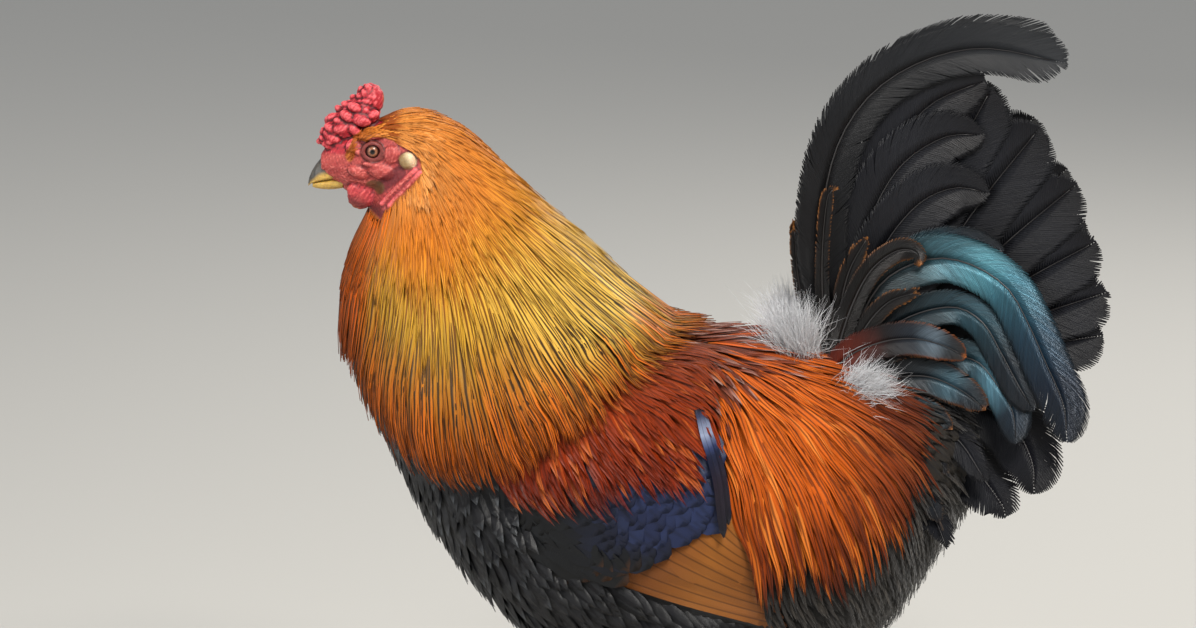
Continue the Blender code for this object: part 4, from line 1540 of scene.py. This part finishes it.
silk_vane = vane_finish("silky_keratin", 0.4, 30, 0.5, (0.04, 0.26), contrast=0.2, specular=0.22)
roots = body_ground.scatter(bow_wanted, 3.1)
lengths = 32 * factors(roots, 0.75, 0.5)
widths = 4.9 * factors(roots, 0.8, 0.4)
lift = 10 - 4 * near_hackle(roots, 0.84, 1)
tract("wing_bow", "wing", silk_vane, roots, lengths, widths, lance, 7, lift, bow_colours, turn=0.12,
      camber=0.18, root_height=3.6, loose=0.9)


# %% Wing bar
BAR_LENGTH = 42


def bar_wanted(points):
    """Roots whose feathers end inside the bar, so its edge is a row of tips."""
    x, z = profile(points)
    way = combed(points)
    reach = 0.9 * BAR_LENGTH
    ends_inside = inside(WING_BAR, x + reach * way[:, 0], z + reach * way[:, 2])
    return ends_inside & (np.abs(points[:, 1]) > FLANK)


def bar_colours(spots, share, luck):
    """Black in front and steel blue behind, with a faint brown rim on the lowest tips."""
    x, z = profile(spots)
    blue = ramp(x + 0.3 * z, -20, 32) * ramp(z, 192, 214)
    lowest = (1 - ramp(z, 188, 196)) * ramp(x, -96, -88) * (1 - ramp(x, -44, -38))
    vane = painted(mix("#07080b", "#0e1013", luck), (mix("#141b36", "#1e2848", luck), blue),
                   ("#6e4220", 0.4 * (lowest * ramp(share, 0.93, 0.99)[None, :])))
    return vane, 0.7 * vane


bar_vane = vane_finish("covert_keratin", 0.42, 34, 0.6, (0, 0.1), contrast=0.1, bump=0.15, specular=0.25)
roots = body_ground.scatter(bar_wanted, 6.2)
lengths = BAR_LENGTH * factors(roots, 0.94, 0.12)
widths = 24 * factors(roots, 0.9, 0.2)
over_bay = ramp(profile(roots)[0], -130, -85)
tract("wing_bar", "wing", bar_vane, roots, lengths, widths, spade, 9, 4 + 2.8 * over_bay, bar_colours,
      turn=0.02, camber=0.02, root_height=1.2 + 2.6 * over_bay, loose=0.05, uneven=0.03)

# %% [markdown]
# Flight feathers are few and large, so each is set by its own root. The secondaries fan out from under
# the bar, each lying on the next. The lowest is black: it shows the folded black primaries and also paints
# the shadow line under the tan bay. Two narrow tertials close the wing behind the bar with a strip of steel
# blue, with a painted pale highlight near their roots.

# %% Flight feathers
SECONDARIES, TERTIALS = 11, 2
# Chart places of the first and last root and tip
FIRST_ROOT, LAST_ROOT = np.array((-96, 194)), np.array((-6, 262))
FIRST_TIP, LAST_TIP = np.array((52, 152)), np.array((30, 204))
TERTIAL_ROOT, TERTIAL_TIP = np.array((-7, 290)), np.array((10, 216))
STATIONS = 18
# Black of the primaries folded under the wing; the same feather also paints the shadow line below it
BLACK_PRIMARY_AND_SHADOW = [(0, "#090808"), (1, "#0f0c0b")]
TAN = [(0, "#70401c"), (0.35, "#8a5022"), (0.6, "#a46426"), (0.8, "#9a5c24"), (1, "#7a4620")]
# Tertials: dark steel blue, with a painted pale highlight near the root
BLUE_STRIP_AND_HIGHLIGHT = [(0, "#2a2430"), (0.07, "#3c4260"), (0.16, "#a8b2cc"), (0.26, "#3c4874"), (0.36, "#171d34"),
              (0.6, "#231a26"), (1, "#14141f")]


def off_chart(chart, flank):
    """The point of the skin below a chart place; flank is -1 for the left side."""
    x, far, high = CHART_EYE
    start = Vector((x, flank * far, high))
    goal = Vector((chart[0], 0, chart[1]))
    hit, _, _, _ = body_ground.tree.ray_cast(start, (goal - start).normalized())
    return np.array(hit if hit is not None else goal)


def flight_line(first, last, bow_depth, flank):
    """Centre line over the skin between two chart places, bowed downward."""
    share = np.linspace(0, 1, STATIONS)
    across = unit(np.array((first[1] - last[1], last[0] - first[0])))
    chart = first + share[:, None] * (last - first) - np.outer(np.sin(math.pi * share) * bow_depth, across)
    spots = np.array([off_chart(spot, flank) for spot in chart])
    _, ups = body_ground.nearest(spots)
    return spots, laid(unit(np.gradient(spots, axis=0)), ups), ups


def long_blade(share):
    """Outline of a flight feather: even width and a rounded tip."""
    tip = 1 - np.clip((share - 0.86) / 0.142, 0, 1)**2
    return np.clip(0.7 + 1.2 * share, 0, 1) * np.sqrt(np.clip(tip, 0.004, 1))


# Of each flight feather: root, tip, bow, height at the root, width and colours
flights = []
for s in np.linspace(0, 1, SECONDARIES):
    stops = BLACK_PRIMARY_AND_SHADOW if s < 0.05 else TAN
    flights.append((mix(FIRST_ROOT, LAST_ROOT, s), mix(FIRST_TIP, LAST_TIP, s), 3 + 4 * s, 1.2 + 3 * s,
                    16 - 3 * s, stops))
for s in np.linspace(0, 1, TERTIALS):
    flights.append((TERTIAL_ROOT + (2.6 * s, 0), TERTIAL_TIP + (3 * s, 8 * s), -3, 10.4 - 0.8 * s, 5.4,
                    BLUE_STRIP_AND_HIGHLIGHT))
bay_vane = vane_finish("flight_keratin", 0.45, 160, 2.2, (0, 0.06), contrast=0.1, bump=0.6, specular=0.3)
share = np.linspace(0, 1, STATIONS)
corners, bay_roots, tints = [], [], []
for flank in SIDES.values():
    for first, last, bow_depth, height, width, stops in flights:
        spots, ways, ups = flight_line(first, last, bow_depth, flank)
        spots = spots + ups * (height + 1.6 * share)[:, None]
        corners.append(corners_of(spots, ways, ups, 0.5 * width * long_blade(share), 0.1, 0.6))
        bay_roots.append(spots[0])
        tints.append(shades(stops, share) * (0.78 + 0.24 * chance.random()))
corners, tints = np.array(corners), np.array(tints)
piece = blades("flight_feathers", corners, unrolled(np.array(bay_roots), "x"), tints, 0.45 * tints)
finished(piece, "flight_feathers", "wing", bay_vane)
print("flight feathers", len(corners))

# %% [markdown]
# ## Back and saddle
# Behind the hackle the back is maroon with a pale glint on each edge, and it passes into the saddle:
# long orange lances that spill over the wing's end and hang to a ragged fringe.

# %% Back tract
BACK_SHADES = [(-40, "#8c4a2a"), (10, "#7a3a26"), (60, "#84391b"), (95, "#93431c")]


def back_wanted(points):
    """The back between the hackle and the tail."""
    return inside(BACK_TRACT, *profile(points)) & (from_cheek(points)[0] > 0.84) & (points[:, 2] > 300)


def back_colours(spots, share, luck):
    """Maroon, with a painted pale glint on the rim of many feathers."""
    x, _ = profile(spots)
    # Painted highlight: a pale glint towards the tips, fading out before the tail
    rim = ramp(share, 0.5, 0.9)[None, :] * ramp(luck, 0.35, 0.9)
    vane = mix(shades(BACK_SHADES, x + 20 * (luck - 0.5)), "#c6a79b", 0.55 * rim * (1 - ramp(x, 55, 90)))
    return varied(vane, luck, 0.2), varied(0.5 * vane, luck, 0.2)


roots = body_ground.scatter(back_wanted, 4.4)
lengths = 34 * factors(roots, 0.8, 0.4)
widths = 6.4 * factors(roots, 0.85, 0.3)
lift = 7.4 - 3 * near_hackle(roots, 0.84, 1)
tract("back_feathers", "saddle", silk_vane, roots, lengths, widths, lance, 7, lift, back_colours, turn=0.12,
      camber=0.2, loose=1.2)


# %% Saddle tract
SADDLE_SHADES = [(0, "#9a4420"), (0.2, "#bb521a"), (0.45, "#cd6018"), (0.7, "#c85a12"), (0.85, "#9c400c"),
                 (1, "#762f0b"), (1.1, "#5c2b18")]


def saddle_wanted(points):
    """The rump, so near the saddle's source that no feather passes its fringe."""
    x, z = profile(points)
    reach, fringe, angle = from_saddle(points)
    in_fan = (reach < 0.76) & (reach * fringe > 10) & (angle > -10) & (angle < 92)
    return in_fan & (x > -2) & (x < 112) & (z > 200)


def saddle_colours(spots, share, luck):
    """Orange, browner behind, with dark tips and painted highlights on some tips at the fringe."""
    reach, _, angle = from_saddle(spots)
    # Painted highlight: some strands lit bright orange near the fringe, less behind
    bright = 0.65 * ramp(luck, 0.55, 0.9) * ramp(reach, 0.68, 0.95) * (1 - ramp(angle, 30, 46))
    vane = painted(
        shades(SADDLE_SHADES, reach + 0.1 * (luck - 0.5)),
        ("#e08a3c", 0.5 * ramp(luck, 0.7, 1) * ramp(reach, 0.2, 0.6)),
        ("#682e14", 0.65 * ramp(angle + 6 * (luck - 0.5), 30, 46) * ramp(reach, 0.45, 0.9)),
        ("#d06a1c", bright), ("#46190a", 0.6 * ramp(-luck, -0.35, -0.05) * ramp(reach, 0.62, 0.9)))
    return varied(vane, luck, 0.18), varied(mix(0.55 * vane, "#3d170a", 0.5), luck, 0.2)


roots = body_ground.scatter(saddle_wanted, 3.7)
reach, fringe, _ = from_saddle(roots)
lengths = np.clip(34 + 0.5 * fringe * reach, 30, 100) * factors(roots, 0.85, 0.3)
lengths = np.minimum(lengths, fringe * (1 - reach) * factors(roots, 0.78, 0.34))
widths = np.clip(3 + 0.03 * lengths, 3.4, 5.8) * factors(roots, 0.8, 0.4)
lift = np.clip(4 + 0.075 * lengths, 5, 10.5) + 2.5 * ramp(reach + lengths / fringe, 0.8, 1)
saddle_vane = vane_finish("saddle_keratin", 0.4, 40, 0.35, (0.05, 0.22), specular=0.2)
for side, chosen in halves(roots):
    tract(f"saddle_{side}", "saddle", saddle_vane, roots[chosen], lengths[chosen], widths[chosen], lance, 9,
          lift[chosen], saddle_colours, turn=0.07, camber=0.18, root_height=1, cling=0.85)

# %% [markdown]
# ## The tail
# A cock's tail is a tent of stiff feathers, with curved coverts and two sickles laid over its sides. Each
# feather stays on the layer of its solid: `tent` gives a layer's distance from the middle plane over any
# point. Barbs stand out slantwise from the quill, cling together in narrow strips, and part here and
# there, most of all near the tip.

# %% The tail's layers
TAIL_ROOT = (100, 300)
PITCH, TENT_SPREAD, TENT_TOP, RIDGE, LAYERS_SUNK = 1.5, 0.35, 80, 1, 7.6


def tent(x, z, layer):
    """Distance of a tail layer from the middle plane over points x, z."""
    dx, dz = x - TAIL_ROOT[0], z - TAIL_ROOT[1]
    reach, angle = np.hypot(dx, dz), np.degrees(np.arctan2(dz, dx))
    u = (TENT_TOP - angle) / TENT_TOP
    opened = (u + np.sqrt(u * u + 0.008)) / 2
    t = np.clip((reach - 10) / 60, 0, 1)
    sink = LAYERS_SUNK * t * t * (3 - 2 * t) * (1 - opened)
    return RIDGE + TENT_SPREAD * reach * opened + PITCH * (layer - sink)


def smooth_path(points, count):
    """Evenly spaced points on a smooth curve through the given ones, and its length."""
    p = np.array(points, float)
    p = np.vstack([2 * p[0] - p[1], p, 2 * p[-1] - p[-2]])
    t = np.linspace(0, 1, 12, endpoint=False)[:, None]
    fine = []
    for a, b, c, d in zip(p[:-3], p[1:-2], p[2:-1], p[3:]):
        squared, cubed = (2 * a - 5 * b + 4 * c - d) * t**2, (3 * b - a - 3 * c + d) * t**3
        fine.append(0.5 * (2 * b + (c - a) * t + squared + cubed))
    fine = np.vstack([*fine, p[-2:-1]])
    s = np.concatenate([[0], np.cumsum(np.linalg.norm(np.diff(fine, axis=0), axis=1))])
    at = np.linspace(0, 1, count) * s[-1]
    return np.stack([np.interp(at, s, fine[:, 0]), np.interp(at, s, fine[:, 1])], axis=1), s[-1]


# %% One tail feather from strips of barbs
PATH_POINTS, OUTLINE_POINTS, QUILL_POINTS = 120, 500, 28
BARB_SHARES = np.array((0, 0.3, 0.6, 0.84, 1))
# How often one clump of barbs ends and the next begins, and half widths of the quill at root and tip
CLUMP_ENDS = 0.12
QUILL_HALF_WIDTHS = (0.7, 0.2)


def along_path(path, length, at, across):
    """Points at a distance along a path, which runs on straight past its end, and across it."""
    station = np.linspace(0, length, len(path))
    step = unit(np.gradient(path, axis=0))
    held = np.clip(at, 0, length)
    x, z, tx, tz = (np.interp(held, station, line) for line in (*path.T, *step.T))
    return np.stack([x + tx * (at - held) - tz * across, z + tz * (at - held) + tx * across], axis=-1)


def on_tent(flat, layer, side, lift):
    """Places of a flat pattern on a layer of one side of the tail, and outward directions."""
    x, z = flat[..., 0], flat[..., 1]
    y = tent(x, z, layer)
    slope_x, slope_z = (tent(x + 3, z, layer) - y) / 3, (tent(x, z + 3, layer) - y) / 3
    outward = unit(np.stack([-slope_x, np.full_like(y, side), -slope_z], axis=-1))
    return np.stack([x, side * (y + lift), z], axis=-1), outward


def tail_feather(points, width, layer, side, strip, fray, slant=(55, 38), base=0.45, blunt=0.5, sag=0.06):
    """Strips of barbs of one feather: corners, place along the quill and side of it; and its quill."""
    path, length = smooth_path(points, PATH_POINTS)
    count = max(int(length / strip), 8)
    root = (np.arange(count) + 0.5) / count * length
    ends = np.linspace(0, length, OUTLINE_POINTS)
    tip = blunt * width
    half = width / 2 * (base + (1 - base) * ramp(ends / length, 0, 0.35))
    half = half * np.sqrt(np.clip(1 - np.clip((ends - length + tip) / tip, 0, 1)**2, 0, 1))
    slope = np.tan(np.radians(slant[0] + (slant[1] - slant[0]) * root / length))[:, None]
    # Each barb runs slantwise until it meets the outline
    met = ((ends - root[:, None]) * slope >= half) & (ends > root[:, None])
    end = ends[np.argmax(met, axis=1)][:, None]
    found = []
    for hand in (-1, 1):
        clump = chance.normal(size=count)[np.cumsum(chance.random(count) < CLUMP_ENDS)]
        stray = fray * (1.6 * clump[:, None] + 0.4 * chance.normal(size=(count, 1)))
        reach = (end - root[:, None]) * slope * (1 - 0.05 * fray * chance.random((count, 1)))
        along = root[:, None] + (end - root[:, None]) * BARB_SHARES**1.25 + stray * BARB_SHARES**2
        flat = along_path(path, length, along, hand * reach * BARB_SHARES)
        lift = 0.1 * chance.normal(size=(count, 1)) * BARB_SHARES - sag * reach * BARB_SHARES**2 + 0.25
        spots, outward = on_tent(flat, layer, side, lift)
        ways = unit(np.gradient(spots, axis=1))
        wide = 0.5 * strip * (1.5 - 0.5 * BARB_SHARES**2) * np.sin(np.arctan(slope)) * np.ones((count, 1))
        wide[:, -1] *= 0.5
        found.append(corners_of(spots, ways, laid(outward, ways), wide, 0.03, 0.26))
    flat = along_path(path, length, np.linspace(0, 0.97, QUILL_POINTS) * length, np.zeros(QUILL_POINTS))
    spots, outward = on_tent(flat, layer, side, 0.4)
    ways = unit(np.gradient(spots, axis=0))
    half = np.linspace(*QUILL_HALF_WIDTHS, QUILL_POINTS)
    quill = corners_of(spots, ways, laid(outward, ways), half, 0.2, 0.9)
    return np.concatenate(found), np.tile(root / length, 2), np.repeat((-1, 1), count), quill


# %% [markdown]
# The feathers are listed by their centre lines: those that the solids have too, then shorter ones that
# fill the root of the tail. This breed carries a fan of matt black feathers, black curved ones over its
# front, glossy teal ones that arch down, and small coverts laced with brown.

# %% Which feathers
# Fan: angle above the floor, length, width and layer
FAN = [(70, 213, 44, 7.2), (60, 204, 46, 6), (49, 189, 45, 5), (38.5, 174, 43, 4), (28.5, 163, 41, 3),
       (20, 150, 38, 2)]
FAN_BEND = 9
# Others: kind, centre line, width and layer
TAIL_FEATHERS = {
    "tail_sickle": ("sickle", [(90, 300), (80, 345), (70, 396), (75, 450), (93, 488), (124, 513), (166, 525),
                               (216, 518)], 33, 11.2),
    "tail_front": ("black", [(96, 296), (92, 340), (94, 400), (108, 450), (134, 487), (169, 505)], 40, 8.6),
    "front_2": ("black", [(98, 298), (91, 345), (95, 400), (114, 445), (142, 468), (168, 472)], 40, 9.6),
    "front_3": ("black", [(100, 298), (96, 345), (104, 390), (126, 424), (150, 438), (172, 436)], 38, 10.3),
    "front_4": ("black", [(104, 298), (104, 340), (116, 374), (140, 398), (166, 402)], 36, 10.9),
    "tail_arch_1": ("gloss", [(84, 318), (92, 350), (108, 379), (135, 394), (159, 393), (182, 380),
                              (195, 359), (206, 335), (216, 312), (218, 290)], 31, 13.8),
    "tail_arch_2": ("deep", [(88, 312), (98, 336), (122, 356), (150, 365), (168, 357), (180, 338), (190, 320),
                             (199, 306)], 22, 12),
    "tail_arch_3": ("steel", [(96, 300), (118, 320), (146, 333), (164, 333), (176, 321), (186, 305),
                              (188, 286)], 23, 10.6),
    "gloss_2": ("deep", [(88, 330), (102, 366), (128, 396), (158, 406), (180, 402)], 24, 12.6),
    "tail_hook": ("laced", [(76, 318), (84, 352), (98, 384), (115, 399), (127, 399), (130, 391)], 15, 17),
    "tail_covert_1": ("maroon", [(68, 314), (86, 334), (107, 343), (126, 346), (144, 343), (158, 337)],
                      21, 17.8),
    "tail_covert_2": ("silver", [(84, 304), (98, 314), (118, 321), (137, 322), (156, 315), (170, 305)],
                      23, 13),
    "undertail_1": ("under", [(112, 298), (140, 306), (168, 303), (189, 290), (199, 272), (200, 254)],
                    42, -3),
    "undertail_2": ("under", [(112, 280), (140, 276), (164, 264), (180, 246), (183, 238)], 38, -9),
    "root_1": ("laced", [(76, 316), (64, 345), (56, 378), (53, 412)], 7, 9.5),
    "root_2": ("laced", [(78, 316), (72, 350), (70, 392), (73, 432), (80, 438)], 9, 15.5),
    "root_3": ("laced", [(80, 318), (80, 350), (86, 384), (98, 408)], 12, 16.2),
    "root_4": ("laced", [(84, 316), (94, 346), (110, 366), (128, 374)], 13, 16.5),
    "root_5": ("laced", [(86, 310), (102, 330), (122, 340), (142, 338)], 14, 16),
    "root_6": ("silver", [(88, 300), (110, 304), (132, 302), (150, 292)], 18, 12),
    "root_7": ("dusky", [(92, 290), (114, 288), (134, 280), (148, 266)], 20, 9),
    "root_8": ("dusky", [(96, 280), (116, 270), (132, 256), (142, 238)], 22, 5),
    "root_9": ("under", [(104, 300), (132, 296), (154, 284), (170, 262)], 26, 5.5),
    "root_10": ("under", [(104, 270), (122, 258), (138, 240), (146, 222)], 24, 0),
}


def fan_line(angle, reach):
    """Centre line of a fan feather, bent forward towards its root."""
    shares = np.array((0.12, 0.4, 0.7, 1))
    bent = np.radians(angle + FAN_BEND * (1 - shares))
    return np.array(TAIL_ROOT) + (reach * shares)[:, None] * np.stack([np.cos(bent), np.sin(bent)], axis=1)


for number, (angle, reach, width, layer) in enumerate(FAN, 1):
    TAIL_FEATHERS[f"tail_fan_{number}"] = ("black", fan_line(angle, reach), width, layer)
print("tail feathers of one side", len(TAIL_FEATHERS))

# %% Their colours
# Kind: colours from root to tip, and the colour of the lacing on the edge
KINDS = {
    "black": ([(0, "#0a090a"), (0.4, "#0f0f12"), (0.8, "#17181d"), (1, "#0d0d11")], None),
    "under": ([(0, "#070708"), (0.4, "#0a0a0d"), (0.8, "#0f1016"), (1, "#0a0a0e")], None),
    "sickle": ([(0, "#0c0b0c"), (0.4, "#0e0e10"), (0.7, "#16171a"), (1, "#282a2d")], None),
    # In gloss, deep and steel the lighter teal band part way along is a painted highlight on dark blue-green
    "gloss": ([(0, "#0b0d0f"), (0.22, "#0e1417"), (0.36, "#192c32"), (0.47, "#3a6470"), (0.54, "#4c8390"),
               (0.62, "#2f5c6b"), (0.74, "#183648"), (0.86, "#0a1b2c"), (1, "#07121f")], None),
    "deep": ([(0, "#0a0b0d"), (0.3, "#0d1316"), (0.5, "#182d35"), (0.62, "#21404b"), (0.8, "#0d1a23"),
              (1, "#081018")], None),
    "steel": ([(0, "#0c0b0c"), (0.35, "#0e1113"), (0.58, "#203b45"), (0.72, "#4b7484"), (0.86, "#132330"),
               (1, "#0c161f")], None),
    "laced": ([(0, "#15100d"), (0.5, "#0e0c0b"), (1, "#0c0b0c")], "#8a5624"),
    # In the maroon covert and the dark teal ones after it, the blue-grey band near the tip is a painted
    # highlight
    "maroon": ([(0, "#5e1a08"), (0.34, "#4c1709"), (0.52, "#150f0f"), (0.68, "#1b222a"), (0.8, "#56646f"),
                (0.9, "#22282d"), (1, "#1a1817")], "#94501f"),
    "silver": ([(0, "#120e0c"), (0.35, "#0e0e10"), (0.58, "#131c22"), (0.74, "#34505c"), (0.86, "#17232b"),
                (1, "#10171c")], "#8a5426"),
    "dusky": ([(0, "#15110f"), (0.5, "#0d0c0e"), (0.85, "#15181d"), (1, "#111013")], "#44382e"),
}
PATCHES_ALONG = 10


def tail_piece(name, keys, strip, fray, slot, material, streaks=0.08, **shape):
    """Feathers of both sides as one mesh of barb strips and one of quills."""
    corners, patches, tints, quills, replaced = [], [], [], [], []
    for number, key in enumerate(keys):
        kind, line, width, layer = TAIL_FEATHERS[key]
        stops, lacing = KINDS[kind]
        for half_number, (side_name, side) in enumerate(SIDES.items()):
            strips, at, hand, quill = tail_feather(line, width, layer, side, strip, fray, **shape)
            tint = shades(stops, at[:, None] + 0.1 * BARB_SHARES)
            if lacing:
                edge = ramp(BARB_SHARES, 0.82, 0.98)[None, :] * ramp(at, 0.4, 0.75)[:, None]
                tint = mix(tint, lacing, np.maximum(edge, ramp(at, 0.95, 1)[:, None]))
            # streaks darkens each vane towards its edge and varies the tone in patches along the feather; on
            # the glossy feathers this breaks the painted highlight into satin streaks
            patchy = np.interp(at, np.linspace(0, 1, PATCHES_ALONG), chance.random(PATCHES_ALONG))
            tint = tint * (1 - streaks * ramp(BARB_SHARES, 0.55, 1))[None, :, None]
            tints.append(varied(tint, (0.5 * patchy + 0.5 * chance.random(len(at)))[:, None], streaks))
            corners.append(strips)
            column = (2 * number + half_number + 0.5 + 0.2 * hand) / (2 * len(keys))
            patches.append(np.stack([MARGIN + USED * column, MARGIN + 0.95 * at], axis=1))
            quills.append(quill)
            if f"{key}_{side_name}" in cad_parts:
                replaced.append(f"{key}_{side_name}")
    tints, quills = np.concatenate(tints), np.array(quills)
    piece = blades(name, np.concatenate(corners), np.concatenate(patches), tints, 0.8 * tints)
    finished(piece, name, slot, material, *replaced)
    spread = np.stack([(np.arange(len(quills)) + 0.5) / len(quills), np.full(len(quills), 0.5)], axis=1)
    dark = np.broadcast_to(linear("#1d1a1a"), (len(quills), QUILL_POINTS, 3))
    finished(blades(name + "_quills", quills, spread, dark, dark), name + "_quills", slot, quill_finish)
    print(name, len(keys) * 2, "feathers,", 2 * len(piece.data.polygons), "triangles")


# %% Build the tail
matt_vane = vane_finish("tail_keratin", 0.42, 0.02, 150, (0, 0.3), contrast=0.2, specular=0.24)
gloss_vane = vane_finish("glossy_tail_keratin", 0.3, 0.02, 150, (0, 0.3), contrast=0.3, metallic=0.45,
                         coat=0.1)
quill_finish = vane_finish("quill_keratin", 0.4, 2, 0.2, (0, 0.4), contrast=0.08, bump=0.1)
# Pieces: feathers, breadth of a strip, fraying, slot, finish, and what is unusual
TAIL_PIECES = {
    "tail_fan": ([f"tail_fan_{i}" for i in range(1, 7)], 1.8, 0.5, "tail_black", matt_vane,
                 {"blunt": 0.42, "sag": 0.03}),
    "tail_front": (["tail_front", "front_2", "front_3", "front_4"], 1.8, 0.7, "tail_black", matt_vane,
                   {"blunt": 1.1, "sag": 0.015}),
    "tail_sickles": (["tail_sickle"], 1.5, 0.9, "tail_black", matt_vane, {"slant": (50, 30), "blunt": 0.6}),
    "undertail": (["undertail_1", "undertail_2"], 1.8, 0.3, "tail_black", matt_vane, {"blunt": 0.7}),
    "tail_glossy": (["tail_arch_1", "tail_arch_2", "tail_arch_3"], 1.7, 0.45, "tail_green", gloss_vane,
                    {"slant": (46, 26), "base": 0.6, "blunt": 0.8, "streaks": 0.4}),
    "tail_cover": (["gloss_2"], 1.7, 0.6, "tail_green", gloss_vane,
                   {"slant": (46, 26), "blunt": 2.4, "streaks": 0.4}),
    "tail_maroon": (["tail_covert_1"], 1.4, 0.6, "tail_green", matt_vane,
                    {"base": 0.7, "blunt": 1.3, "streaks": 0.25}),
    "tail_laced": (["tail_hook", "tail_covert_2", "root_6"], 1.4, 0.6, "tail_green", gloss_vane,
                   {"base": 0.6, "blunt": 1.3, "streaks": 0.25}),
    "tail_root_coverts": ([f"root_{i}" for i in (1, 2, 3, 4, 5, 7, 8, 9, 10)], 1.5, 1.4, "tail_black",
                          matt_vane, {"slant": (40, 26), "blunt": 1.8}),
}
for name, (*usual, departures) in TAIL_PIECES.items():
    tail_piece(name, *usual, **departures)

# %% [markdown]
# White down shows where the tail's coverts part. Its strands curl freely, so each sways along its length,
# and they spray up and back from a small patch of skin on each side.

# %% White down
STRAND_POINTS, STRAND_WIDTH, SPRAY, SWAY = 5, 0.13, 0.33, 2.6
# Each puff: chart place, radius, main direction, strand length, number of strands
PUFFS = [((57, 328), 10, (-0.16, 0.1, 1), 62, 1500), ((90, 306), 11, (0.8, 0.12, 0.5), 40, 1050)]


def puff(flank, chart, radius, way, length, count):
    """Strands of one puff as points along each, and their roots on the skin."""
    middle = off_chart(chart, flank)
    way = unit(np.array(way) * (1, flank, 1) + SPRAY * chance.normal(size=(count, 3)))
    foot, _ = body_ground.nearest(middle + radius * 0.5 * chance.normal(size=(count, 3)))
    grown = length * (0.25 + 0.6 * chance.random((count, 1, 1))**1.4) * share[:, None]
    swung = chance.normal(size=(count, 1, 3)) * SWAY
    wave = np.sin(6 * share + 6 * chance.random((count, 1)))[..., None]
    droop = np.array((0, 0, -0.003)) * grown**2
    return foot[:, None] + way[:, None] * grown + swung * wave * share[:, None] + droop, foot


share = np.linspace(0, 1, STRAND_POINTS)
puffs = [puff(flank, *facts) for flank in SIDES.values() for facts in PUFFS]
strands, down_roots = (np.concatenate(part) for part in zip(*puffs))
ways = unit(np.gradient(strands, axis=1))
ups = laid(np.broadcast_to((0.3, -1, 0.3), ways.shape), ways)
wide = STRAND_WIDTH * leaf(share) * np.ones((len(strands), 1))
bright = ramp(share, 0, 0.5) * (0.5 + 0.5 * chance.random((len(strands), 1)))
tone = mix("#8f8c8c", "#f0f1f4", bright)
corners = corners_of(strands, ways, ups, wide, 0, 0.22)
piece = blades("white_down", corners, unrolled(down_roots, "x"), tone, 0.9 * tone)
finished(piece, "white_down", "body_plumage", down_strand)
print("white down", len(strands), "strands")
